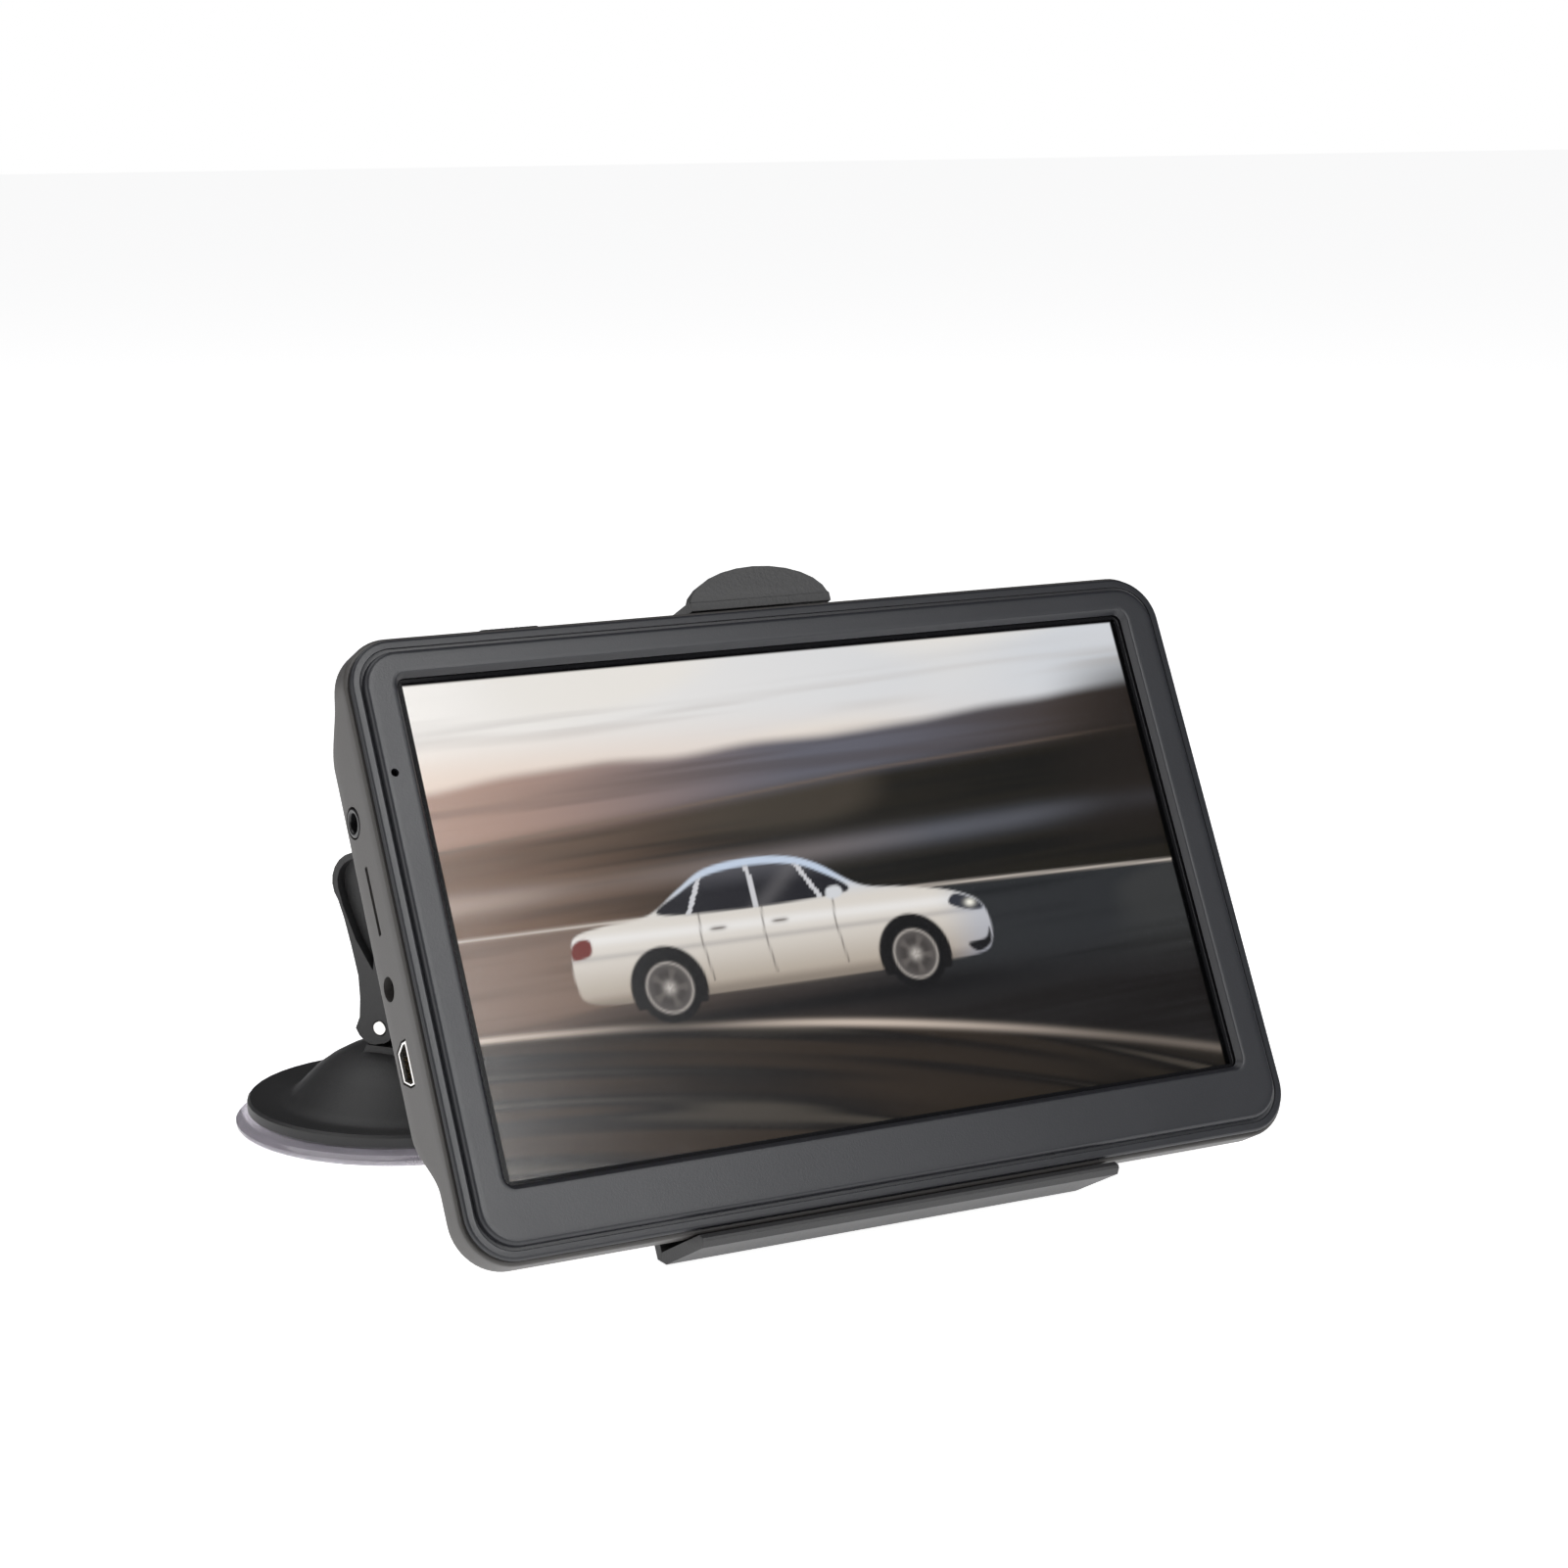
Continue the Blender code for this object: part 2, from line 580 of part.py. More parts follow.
def beam_rings(start, end, lift, half_width, half_height, count=9):
    """Rings of a beam whose middle is lifted by a parabola; each ring is a rounded rectangle across its path."""
    rings = []
    start, end = Vector(start), Vector(end)
    for t in np.linspace(0, 1, count):
        centre = start.lerp(end, t) + Vector((0, 0, 4 * lift * t * (1 - t)))
        slope = (end - start) + Vector((0, 0, 4 * lift * (1 - 2 * t)))
        forward = slope.normalized()
        side = Vector((0, 1, 0))
        up = forward.cross(side).normalized()
        width = half_width + (EYE_HALF - 0.4 - half_width) * t
        outline = rounded_rectangle(-width, width, -half_height, half_height, 2.5, 3)
        rings.append([centre + side * a + up * b for a, b in outline])
    return rings


beam_start = BALL_ARM + socket_axis * 10.5
add(
    swing_arm,
    lofted("arm_beam", beam_rings(beam_start, Vector(ARM_PIVOT) - Vector((3.0, 0, -1.0)), 9.0, 6.5, 4.2), FINE_BLACK, **in_arm),
    rod(
        "arm_eye",
        (ARM_PIVOT[0], -EYE_HALF, ARM_PIVOT[2]),
        (ARM_PIVOT[0], EYE_HALF, ARM_PIVOT[2]),
        EYE_RADIUS,
        FINE_BLACK,
        28,
        **in_arm,
    ),
)
cut(
    swing_arm,
    rod("eye_bore", (ARM_PIVOT[0], -20, ARM_PIVOT[2]), (ARM_PIVOT[0], 20, ARM_PIVOT[2]), 2.4, FINE_BLACK, 20, **in_arm),
)
clamp_nut = turned(
    "clamp_nut",
    [
        (CUP_OUTER + 0.35, -3.0),
        (CUP_OUTER + 0.35, 3.4),
        (CUP_OUTER + 2.6, 3.4),
        (CUP_OUTER + 2.6, -3.2),
        (CUP_OUTER + 1.4, -4.4),
        (6.9, -4.4),
        (7.4, -3.0),
    ],
    FINE_BLACK,
    36,
    along(BALL_ARM, socket_axis),
    origin=BALL_ARM,
    **in_arm,
)

# ---- suction base: flange, dome and neck in one moulding ----
NECK_TOP, NECK_HALF = 16.9, 8.4
suction_base = turned(
    "suction_base",
    [
        (4.0, 2.6),
        (FLANGE_RADIUS - 0.6, 2.6),
        (FLANGE_RADIUS, 3.2),
        (FLANGE_RADIUS, 5.0),
        (FLANGE_RADIUS - 0.5, 5.5),
        (25.6, 4.7),
        (24.0, 5.0),
        (22.2, 6.4),
        (20.0, 8.6),
        (17.8, 10.8),
        (15.0, 12.8),
        (11.6, 14.6),
        (9.0, 15.4),
        (4.0, 15.8),
    ],
    FINE_BLACK,
    48,
)
neck_side = [(6.4, 9.0), (5.4, 13.0), (3.6, NECK_TOP), (-7.4, NECK_TOP), (-10.0, 14.0), (-11.0, 9.0)]
add(suction_base, extruded("neck", neck_side, 1, -NECK_HALF, NECK_HALF, FINE_BLACK, **in_arm))
EAR_INNER, EAR_OUTER = EYE_HALF + 0.35, 9.0
fork_side = [(-6.0, 6.0), (-6.0, 16.2)] + [
    (ARM_PIVOT[0] + EYE_RADIUS * math.cos(a), ARM_PIVOT[2] + EYE_RADIUS * math.sin(a))
    for a in np.radians(np.linspace(30, 205, 8))
]
fork_side.append((-21.0, 6.6))
add(suction_base, extruded("base_fork", fork_side, 1, -EAR_OUTER, EAR_OUTER, FINE_BLACK, **in_arm))
cut(
    suction_base,
    rod("eye_room", (ARM_PIVOT[0], -EAR_INNER, ARM_PIVOT[2]), (ARM_PIVOT[0], EAR_INNER, ARM_PIVOT[2]), EYE_RADIUS + 0.65, FINE_BLACK, 28, **in_arm),
    rod("bolt_hole", (ARM_PIVOT[0], -20, ARM_PIVOT[2]), (ARM_PIVOT[0], 20, ARM_PIVOT[2]), 2.4, FINE_BLACK, 20, **in_arm),
    rod("stem_bore", (0, 0, -5), (0, 0, 30), 3.4, FINE_BLACK, 24, **in_arm),
)

# ---- pad, stem, lever and pin ----
suction_pad = turned(
    "suction_pad",
    [
        (0, 0),
        (PAD_RADIUS - 0.5, 0),
        (PAD_RADIUS, 0.5),
        (PAD_RADIUS, 1.2),
        (PAD_RADIUS - 0.8, PAD_HEIGHT - 0.3),
        (PAD_RADIUS - 2.0, PAD_HEIGHT),
        (0, PAD_HEIGHT),
    ],
    CLEAR_VINYL,
    64,
)
PIN_RADIUS = 1.45
EYE_WIDTH = 3.0
pull_stem = turned(
    "pull_stem",
    [(0, 2.6), (2.9, 2.6), (2.9, PIN_HEIGHT - 3.2), (2.9, PIN_HEIGHT + 1.2), (1.6, PIN_HEIGHT + 3.0), (0, PIN_HEIGHT + 3.0)],
    DARK_PLASTIC,
    20,
)
pull_stem.rotation_euler = ARM.to_euler()
cut(
    pull_stem,
    rod("stem_eye", (0, -10, PIN_HEIGHT), (0, 10, PIN_HEIGHT), PIN_RADIUS + CLEARANCE, DARK_PLASTIC, 20, **in_arm),
)
lever_pin = rod(
    "lever_pin", (0, -LEVER_HALF_WIDTH - 0.1, PIN_HEIGHT), (0, LEVER_HALF_WIDTH + 0.1, PIN_HEIGHT), PIN_RADIUS, BRIGHT_STEEL, 24, **in_arm
)

CAM_BASE = PIN_HEIGHT - NECK_TOP - 0.7
LIFT_RATE = PAD_LIFT / LEVER_STROKE
HEAD_CENTRE, HEAD_RADIUS = (4.2, 49.9), 6.3


def cam_point(angle):
    """Foot of the lever: its radius from the pin grows evenly with the angle from straight down."""
    radius = CAM_BASE + LIFT_RATE * max(angle, 0.0)
    return (radius * math.sin(angle), PIN_HEIGHT - radius * math.cos(angle))


lever_outline = [cam_point(a) for a in np.linspace(-1.2, math.radians(84), 10)]
lever_outline += [(4.7, 22.6), (4.5, 26.5), (4.8, 31.0), (6.3, 37.0), (7.9, 42.6)]
lever_outline += [
    (HEAD_CENTRE[0] + HEAD_RADIUS * math.cos(a), HEAD_CENTRE[1] + HEAD_RADIUS * math.sin(a))
    for a in np.radians(np.linspace(-38, 190, 15))
]
lever_outline += [(-3.2, 43.0), (-4.4, 36.0), (-4.9, 29.0), (-4.6, 24.0)]
lock_lever = extruded(
    "lock_lever", lever_outline, 1, -LEVER_HALF_WIDTH, LEVER_HALF_WIDTH, FINE_BLACK, origin=(0, 0, PIN_HEIGHT), **in_arm
)
POCKET = [(1.3, 32.5), (5.2, 38.5), (8.0, 45.0)] + [
    (HEAD_CENTRE[0] + 5.0 * math.cos(a), HEAD_CENTRE[1] + 5.0 * math.sin(a)) for a in np.radians(np.linspace(-15, 195, 11))
]
cut(
    lock_lever,
    rod("pin_bore", (0, -20, PIN_HEIGHT), (0, 20, PIN_HEIGHT), PIN_RADIUS + 0.15, FINE_BLACK, 24, **in_arm),
    block("stem_slot", (-4.2, -3.4, PIN_HEIGHT - 8), (9, 3.4, PIN_HEIGHT + 4.2), FINE_BLACK, **in_arm),
    *(
        extruded(f"pocket_{i}", POCKET, 1, low, high, FINE_BLACK, **in_arm)
        for i, (low, high) in enumerate([(LEVER_HALF_WIDTH - 2.5, 20), (-20, -LEVER_HALF_WIDTH + 2.5)])
    ),
)

# ---- pivot bolt and its thumb nut ----
pivot_bolt = turned(
    "pivot_bolt",
    [(0, -EAR_OUTER - 2.2), (4.0, -EAR_OUTER - 2.2), (4.4, -EAR_OUTER - 1.8), (4.4, -EAR_OUTER - CLEARANCE), (2.0, -EAR_OUTER - CLEARANCE), (2.0, 15.0), (0, 15.0)],
    BRIGHT_STEEL,
    24,
    along((ARM_PIVOT[0], 0, ARM_PIVOT[2]), (0, -1, 0)),
    **in_arm,
)
NUT_LOW, NUT_HIGH = EAR_OUTER + CLEARANCE, EAR_OUTER + 8.0
nut_rings = []
for height, size in ((NUT_LOW, 0.82), (NUT_LOW + 1.0, 1.0), (NUT_HIGH - 1.0, 1.0), (NUT_HIGH, 0.86)):
    ring = []
    for a in np.arange(40) * math.pi / 20:
        radius = size * (8.0 + 0.7 * math.cos(5 * a))
        ring.append((ARM_PIVOT[0] + radius * math.cos(a), -height, ARM_PIVOT[2] + radius * math.sin(a)))
    nut_rings.append(ring)
thumb_nut = lofted("thumb_nut", nut_rings, FINE_BLACK, origin=(ARM_PIVOT[0], -NUT_LOW, ARM_PIVOT[2]), **in_arm)
cut(
    thumb_nut,
    rod("nut_bore", (ARM_PIVOT[0], 0, ARM_PIVOT[2]), (ARM_PIVOT[0], -15.6, ARM_PIVOT[2]), 2.3, FINE_BLACK, 20, **in_arm),
)
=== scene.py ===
import json
import math

import bmesh
import bpy
import numpy as np
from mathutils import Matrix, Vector


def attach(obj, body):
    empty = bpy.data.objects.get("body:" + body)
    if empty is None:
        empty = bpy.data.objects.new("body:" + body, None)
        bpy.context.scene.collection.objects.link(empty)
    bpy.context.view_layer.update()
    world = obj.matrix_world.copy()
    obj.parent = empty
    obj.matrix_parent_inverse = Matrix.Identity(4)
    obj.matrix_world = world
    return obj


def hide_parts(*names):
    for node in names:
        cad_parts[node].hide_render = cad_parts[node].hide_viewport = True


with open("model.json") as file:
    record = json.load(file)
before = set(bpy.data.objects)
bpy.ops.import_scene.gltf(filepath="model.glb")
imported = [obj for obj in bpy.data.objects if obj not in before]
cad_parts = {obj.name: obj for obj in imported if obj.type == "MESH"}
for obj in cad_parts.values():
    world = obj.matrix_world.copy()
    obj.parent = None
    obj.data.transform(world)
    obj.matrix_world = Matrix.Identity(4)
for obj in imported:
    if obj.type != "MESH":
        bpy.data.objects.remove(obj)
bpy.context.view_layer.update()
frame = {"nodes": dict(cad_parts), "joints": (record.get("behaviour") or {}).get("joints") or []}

joints = {joint["name"]: joint for joint in frame["joints"]}

# ---- studio ----
# A pale sheet of card lit by large soft lamps. The camera stands at the left of the navigator, three
# quarters of a metre away, and looks a little down, as a passenger would.
scene = bpy.context.scene
scene.view_settings.view_transform = "Standard"
CAMERA_PLACE = (-0.2954, -0.66578, 0.21059)
CAMERA_AIM = (0.48999, 0.85029, -0.19213)
LENS = 85.27
NEAREST_SEEN = 0.01

camera = bpy.data.objects.new("camera", bpy.data.cameras.new("camera"))
scene.collection.objects.link(camera)
camera.location = CAMERA_PLACE
camera.rotation_mode = "QUATERNION"
camera.rotation_quaternion = Vector(CAMERA_AIM).to_track_quat("-Z", "Y")
camera.data.lens = LENS
camera.data.clip_start = NEAREST_SEEN
scene.camera = camera

MIDDLE = Vector((0.03, -0.06, 0.06))


def softbox(name, direction, distance, width, height, watts, colour=(1.0, 1.0, 1.0)):
    """A flat lamp of that width and height that faces the object from that direction and distance."""
    lamp = bpy.data.objects.new(name, bpy.data.lights.new(name, "AREA"))
    scene.collection.objects.link(lamp)
    lamp.data.shape = "RECTANGLE"
    lamp.data.size, lamp.data.size_y = width, height
    lamp.data.energy = watts
    lamp.data.color = colour
    toward = Vector(direction).normalized()
    lamp.location = MIDDLE + toward * distance
    lamp.rotation_mode = "QUATERNION"
    lamp.rotation_quaternion = toward.to_track_quat("Z", "Y")
    return lamp


softbox("front_lamp", (0.23, -0.75, 0.62), 1.1, 0.2, 0.8, 7.0)
softbox("left_lamp", (-1.0, -0.25, 0.45), 1.0, 0.7, 0.7, 3.0, (1.0, 0.98, 0.96))
softbox("top_lamp", (-0.3, 0.35, 1.0), 1.3, 1.0, 1.0, 6.0)

SHEET_REACH = 6.0
SHEET_DROP = 0.0002  # keeps the card clear of the pad
card = bpy.data.meshes.new("card_sheet")
sheet_corners = [(x * SHEET_REACH, y * SHEET_REACH, 0) for x, y in ((-1, -1), (1, -1), (1, 1), (-1, 1))]
card.from_pydata(sheet_corners, [], [(0, 1, 2, 3)])
floor = bpy.data.objects.new("card_sheet", card)
scene.collection.objects.link(floor)
floor.location.z = -SHEET_DROP


class Amount:
    """A shader socket that can stand in a sum: each operator adds one Math node."""

    def __init__(self, finish, socket):
        self.finish, self.socket = finish, socket

    def maths(self, operation, first, second=0.0):
        return self.finish.node("ShaderNodeMath", {"operation": operation}, {0: first, 1: second})

    def __add__(self, other):
        return self.maths("ADD", self, other)

    def __sub__(self, other):
        return self.maths("SUBTRACT", self, other)

    def __rsub__(self, other):
        return self.maths("SUBTRACT", other, self)

    def __mul__(self, other):
        return self.maths("MULTIPLY", self, other)

    def __gt__(self, other):
        return self.maths("GREATER_THAN", self, other)

    __radd__, __rmul__ = __add__, __mul__

    def size(self):
        return self.maths("ABSOLUTE", self)

    def most(self, other):
        return self.maths("MAXIMUM", self, other)

    def ramp(self, low, high, start=0.0, end=1.0):
        """start where this is low, end where it is high, and even between them."""
        ends = {"Value": self, "From Min": low, "From Max": high, "To Min": start, "To Max": end}
        return self.finish.node("ShaderNodeMapRange", {}, ends)


class Finish:
    """A material under way: its nodes are added by node(), and surface() fills the shader's own sockets."""

    def __init__(self, name):
        self.material = bpy.data.materials.new(name)
        self.material.use_nodes = True
        self.tree = self.material.node_tree
        self.shader = self.tree.nodes["Principled BSDF"]

    def fill(self, socket, value):
        if isinstance(value, Amount):
            self.tree.links.new(value.socket, socket)
        elif isinstance(value, tuple) and len(value) == 3 and socket.type == "RGBA":
            socket.default_value = (*value, 1.0)
        else:
            socket.default_value = value

    def node(self, kind, settings=None, sockets=None, out=0):
        """Adds a node, sets it up, fills its sockets, and returns the output of that name or number."""
        added = self.tree.nodes.new(kind)
        for key, value in (settings or {}).items():
            setattr(added, key, value)
        for key, value in (sockets or {}).items():
            self.fill(added.inputs[key], value)
        return Amount(self, added.outputs[out])

    def surface(self, sockets):
        for key, value in sockets.items():
            self.fill(self.shader.inputs[key], value)
        return self.material

    def place(self):
        return self.node("ShaderNodeTexCoord", out="Object")

    def noise(self, scale, detail=2.0, where=None):
        sockets = {"Vector": where or self.place(), "Scale": scale, "Detail": detail}
        return self.node("ShaderNodeTexNoise", {}, sockets)

    def mixed(self, amount, first, second):
        return self.node("ShaderNodeMix", {"data_type": "RGBA"}, {0: amount, 6: first, 7: second}, 2)

    def relief(self, height, depth, strength=1.0):
        return self.node("ShaderNodeBump", {}, {"Height": height, "Distance": depth, "Strength": strength})


card_finish = Finish("pale_card")
fibre = card_finish.noise(900.0, 4.0)
card_finish.surface({
    "Base Color": card_finish.mixed(fibre, (0.88, 0.88, 0.88), (0.92, 0.92, 0.92)),
    "Roughness": 0.9,
    "Emission Color": (1.0, 1.0, 1.0),
    "Emission Strength": 0.9,
})
card.materials.append(card_finish.material)

world = bpy.data.worlds.new("studio_air")
scene.world = world
world.use_nodes = True
air = world.node_tree
seen = air.nodes.new("ShaderNodeLightPath")
backdrop = air.nodes.new("ShaderNodeMix")
backdrop.data_type = "RGBA"
backdrop.inputs[6].default_value = (0.05, 0.05, 0.053, 1.0)
backdrop.inputs[7].default_value = (1.0, 1.0, 1.0, 1.0)
air.links.new(seen.outputs["Is Camera Ray"], backdrop.inputs[0])
air.links.new(backdrop.outputs[2], air.nodes["Background"].inputs["Color"])

# ---- front bezel ----
# The front moulding of the housing: ABS in satin black, with a raised plate, a groove round it, a lower band
# and a chamfer round the window. Four hollow posts behind it take the case screws.
MM = 0.001


def along(joint):
    return np.array(joints[joint]["axis"], float)


def spot(joint):
    return np.array(joints[joint]["pos_m"], float)


UNIT_AXES = np.array([(1.0, 0.0, 0.0), -along("unit_release"), -along("power_press")])
CLIP_PIVOT = np.array([0.0, 19.2, 21.0])
UNIT_ORIGIN = spot("clip_open") - CLIP_PIVOT @ UNIT_AXES * MM


def in_unit(points):
    """Millimetres along the screen, into it and up it, as metres in the shared frame."""
    return np.asarray(points, float) @ UNIT_AXES * MM + UNIT_ORIGIN


def grid_piece(name, points, finish, body, loops=(False, True), caps=False, crease=32, replaces=()):
    """Rows and columns of points joined by quads; rows or columns may close on themselves, and caps fill the
    first and the last row. Points that meet are merged, so seams and poles are closed."""
    rows, columns = points.shape[:2]
    index = np.arange(rows * columns).reshape(rows, columns)
    lattice = np.vstack([index, index[:1]]) if loops[0] else index
    lattice = np.hstack([lattice, lattice[:, :1]]) if loops[1] else lattice
    near, far = lattice[:-1], lattice[1:]
    quads = np.stack([near[:, :-1], near[:, 1:], far[:, 1:], far[:, :-1]], axis=-1).reshape(-1, 4)
    faces = quads.tolist()
    if caps:
        faces += [index[0].tolist(), index[-1].tolist()]
    return faces_piece(name, points.reshape(-1, 3), faces, finish, body, crease, replaces)


def faces_piece(name, points, faces, finish, body, crease=32, replaces=()):
    mesh = bpy.data.meshes.new(name)
    mesh.from_pydata(np.asarray(points).tolist(), [], faces)
    piece = bpy.data.objects.new(name, mesh)
    scene.collection.objects.link(piece)
    settle(piece, crease)
    mesh.materials.append(finish)
    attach(piece, body)
    if replaces:
        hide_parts(*replaces)
    return piece


def settle(piece, crease):
    """Merges points that meet, turns faces outwards, and shades smoothly but for creases."""
    work = bmesh.new()
    work.from_mesh(piece.data)
    bmesh.ops.remove_doubles(work, verts=work.verts, dist=1e-6)
    bmesh.ops.dissolve_degenerate(work, edges=work.edges, dist=1e-7)
    bmesh.ops.recalc_face_normals(work, faces=work.faces)
    work.to_mesh(piece.data)
    work.free()
    piece.data.shade_smooth()
    piece.data.set_sharp_from_angle(angle=math.radians(crease))


def carve(piece, guides, crease=32):
    """Takes the guides out of a piece, and removes them."""
    for guide in guides:
        step = piece.modifiers.new(guide.name, "BOOLEAN")
        step.operation, step.solver, step.object = "DIFFERENCE", "EXACT", guide
    graph = bpy.context.evaluated_depsgraph_get()
    mesh = bpy.data.meshes.new_from_object(piece.evaluated_get(graph))
    piece.modifiers.clear()
    piece.data = mesh
    for guide in guides:
        bpy.data.objects.remove(guide)
    settle(piece, crease)
    return piece


def cutter(points):
    """A guide for carve(): rows of points joined into a closed tube, with no finish and no body."""
    rows, columns = points.shape[:2]
    index = np.arange(rows * columns).reshape(rows, columns)
    ring = np.hstack([index, index[:, :1]])
    quads = np.stack([ring[:-1, :-1], ring[:-1, 1:], ring[1:, 1:], ring[1:, :-1]], axis=-1).reshape(-1, 4)
    mesh = bpy.data.meshes.new("guide")
    ends = [index[0].tolist(), index[-1].tolist()]
    mesh.from_pydata(points.reshape(-1, 3).tolist(), [], quads.tolist() + ends)
    guide = bpy.data.objects.new("guide", mesh)
    scene.collection.objects.link(guide)
    settle(guide, 30)
    return guide


def rounded_frame(left, right, low, high, radius, turn_steps=14, side_steps=(1, 1)):
    """Outline of a rectangle with quarter-circle corners, anticlockwise from the right end of its lower
    side; side_steps says in how many parts its upright and its level sides are divided."""
    parts = []
    corners = [
        (right - radius, low + radius),
        (right - radius, high - radius),
        (left + radius, high - radius),
        (left + radius, low + radius),
    ]
    for i, (cx, cz) in enumerate(corners):
        a = np.radians(-90 + 90 * i + np.linspace(0, 90, turn_steps + 1))
        arc = np.column_stack([cx + radius * np.cos(a), cz + radius * np.sin(a)])
        parts.append(arc)
        after = corners[(i + 1) % 4]
        b = math.radians(90 * i)
        start = arc[-1]
        end = np.array([after[0] + radius * math.cos(b), after[1] + radius * math.sin(b)])
        steps = np.linspace(0, 1, side_steps[i % 2] + 1)[1:-1, None]
        parts.append(start + (end - start) * steps)
    return np.vstack(parts)


PLATE = (-84.1, 84.1, -56.5, 50.9, 7.0)
HOUSING = (-87.0, 87.0, -59.6, 54.0, 9.5)
WINDOW = (-77.5, 77.5, -46.0, 46.0, 1.6)
FACE_Y, SEAM_Y, SKIRT_Y = -1.8, 0.6, 1.9
BACK_Y = FACE_Y + 1.45


def drawn_in(frame_size, by, turn_steps=14, side_steps=(1, 1)):
    left, right, low, high, radius = frame_size
    sides = (left + by, right - by, low + by, high - by)
    return rounded_frame(*sides, max(radius - by, 0.3), turn_steps, side_steps)


def standing(outline, y):
    """An outline along and up the screen, at depth y in the unit frame."""
    depth = np.broadcast_to(y, len(outline))
    return in_unit(np.column_stack([outline[:, 0], depth, outline[:, 1]]))


def round_over(start, end, steps=5):
    """Quarter ellipse of (inset, depth) from a flat face at start to an upright wall at end."""
    run, rise = end[0] - start[0], end[1] - start[1]
    turn = np.linspace(0, math.pi / 2, steps)
    return [(start[0] + run * math.sin(a), start[1] + rise * (1 - math.cos(a))) for a in turn]


section = [(PLATE, by, y) for by, y in round_over((0.85, FACE_Y), (0.0, FACE_Y + 0.75), 7)]
section += [(PLATE, 0.0, FACE_Y + 1.25), (PLATE, -0.08, FACE_Y + 1.35), (PLATE, -0.4, FACE_Y + 1.35)]
section += [(HOUSING, 2.42, FACE_Y + 1.28), (HOUSING, 2.38, FACE_Y + 1.02), (HOUSING, 2.28, FACE_Y + 0.95)]
section += [(HOUSING, by, y) for by, y in round_over((1.35, FACE_Y + 1.0), (0.75, FACE_Y + 1.5), 6)]
section += [(HOUSING, 0.75, FACE_Y + 1.92), (HOUSING, 0.85, FACE_Y + 2.0), (HOUSING, 2.0, FACE_Y + 2.0)]
section += [(HOUSING, 2.0, SKIRT_Y), (HOUSING, 3.2, SKIRT_Y), (HOUSING, 3.2, BACK_Y), (WINDOW, -0.1, BACK_Y)]
section += [(WINDOW, 0.0, BACK_Y - 0.1), (WINDOW, -0.72, FACE_Y + 0.16), (WINDOW, -0.86, FACE_Y + 0.04)]
section += [(WINDOW, -1.0, FACE_Y), (WINDOW, -1.6, FACE_Y), (PLATE, 1.8, FACE_Y)]


def moulded(name, colour, roughness, grain, depth, mottle=0.12, warm=(1.0, 1.0, 1.0)):
    """Moulded plastic: a spark-eroded grain in relief, faint broad clouds in the colour and in the gloss."""
    finish = Finish(name)
    fine = finish.noise(grain, 3.0)
    cloud = finish.noise(45.0, 3.0)
    dark = tuple(c * (1 - mottle) for c in colour)
    light = tuple(c * w * (1 + mottle) for c, w in zip(colour, warm))
    finish.surface({
        "Base Color": finish.mixed(cloud * 0.7 + fine * 0.3, dark, light),
        "Roughness": cloud * 0.08 + fine * 0.06 + (roughness - 0.07),
        "Normal": finish.relief(fine, depth),
    })
    return finish.material


satin_black = moulded("satin_black_plastic", (0.017, 0.018, 0.022), 0.4, 2600.0, 0.00002)

bezel = grid_piece(
    "bezel_moulding",
    np.array([standing(drawn_in(size, by), y) for size, by, y in section]),
    satin_black, "navigator", loops=(True, True), replaces=["front_bezel"],
)


def turned(profile, steps=48):
    """Rows of a solid of revolution about the third axis, from (radius, height) points."""
    profile = np.array(profile, float)
    a = np.arange(steps) * 2 * math.pi / steps
    return np.stack([
        profile[:, :1] * np.cos(a),
        profile[:, :1] * np.sin(a),
        np.repeat(profile[:, 1:], steps, axis=1),
    ], axis=-1)


def aimed(rows, point, direction):
    """Turns rows made about the third axis so that it runs along direction, and moves them to point."""
    turn = np.array(Vector(direction).to_track_quat("Z", "Y").to_matrix())
    return rows @ turn.T + np.asarray(point, float)


MIC = (-82.0, 28.7)
MIC_HOLE = 0.75
sound_hole = aimed(turned([(MIC_HOLE, 0), (MIC_HOLE, 3)], 24), (MIC[0], -3, MIC[1]), (0, 1, 0))
carve(bezel, [cutter(in_unit(sound_hole))])
POST_SECTION = [(1.6, 0.0), (1.6, 5.2), (1.5, 5.3), (0.9, 5.3), (0.8, 5.2), (0.8, 0.8), (0.0, 0.8)]
POSTS = [(x, z) for x in (-74.0, 74.0) for z in (-54.4, 49.0)]
for number, (x, z) in enumerate(POSTS, 1):
    grid_piece(
        f"screw_post_{number}",
        in_unit(aimed(turned([(0.0, 0.0), *POST_SECTION], 24), (x, BACK_Y - 0.02, z), (0, 1, 0))),
        satin_black, "navigator",
    )

# ---- rear shell ----
# The back moulding: warm grey ABS with a fine spark finish. It is shallow at the top and bottom ends and
# deep between them, with openings for the sockets, the speaker's slots, the button and the four screws.
EDGE_DEPTH, MIDDLE_DEPTH, WALL = 6.8, 13.7, 1.6
EDGE_ROUND = 1.3


def smooth(t):
    t = np.clip(t, 0, 1)
    return t * t * (3 - 2 * t)


def depth_at(z):
    """Depth of the shell at a height: the ends' depth, raised to the middle's by two smooth steps."""
    rise = smooth((z + 44.8) / 11.8) * smooth((46.6 - z) / 12.6)
    return EDGE_DEPTH + (MIDDLE_DEPTH - 0.3 * smooth((z + 20) / 50) - EDGE_DEPTH) * rise


def shell_row(by, rule):
    outline = drawn_in(HOUSING, by, 14, (95, 12))
    return standing(outline, rule(outline[:, 1]))


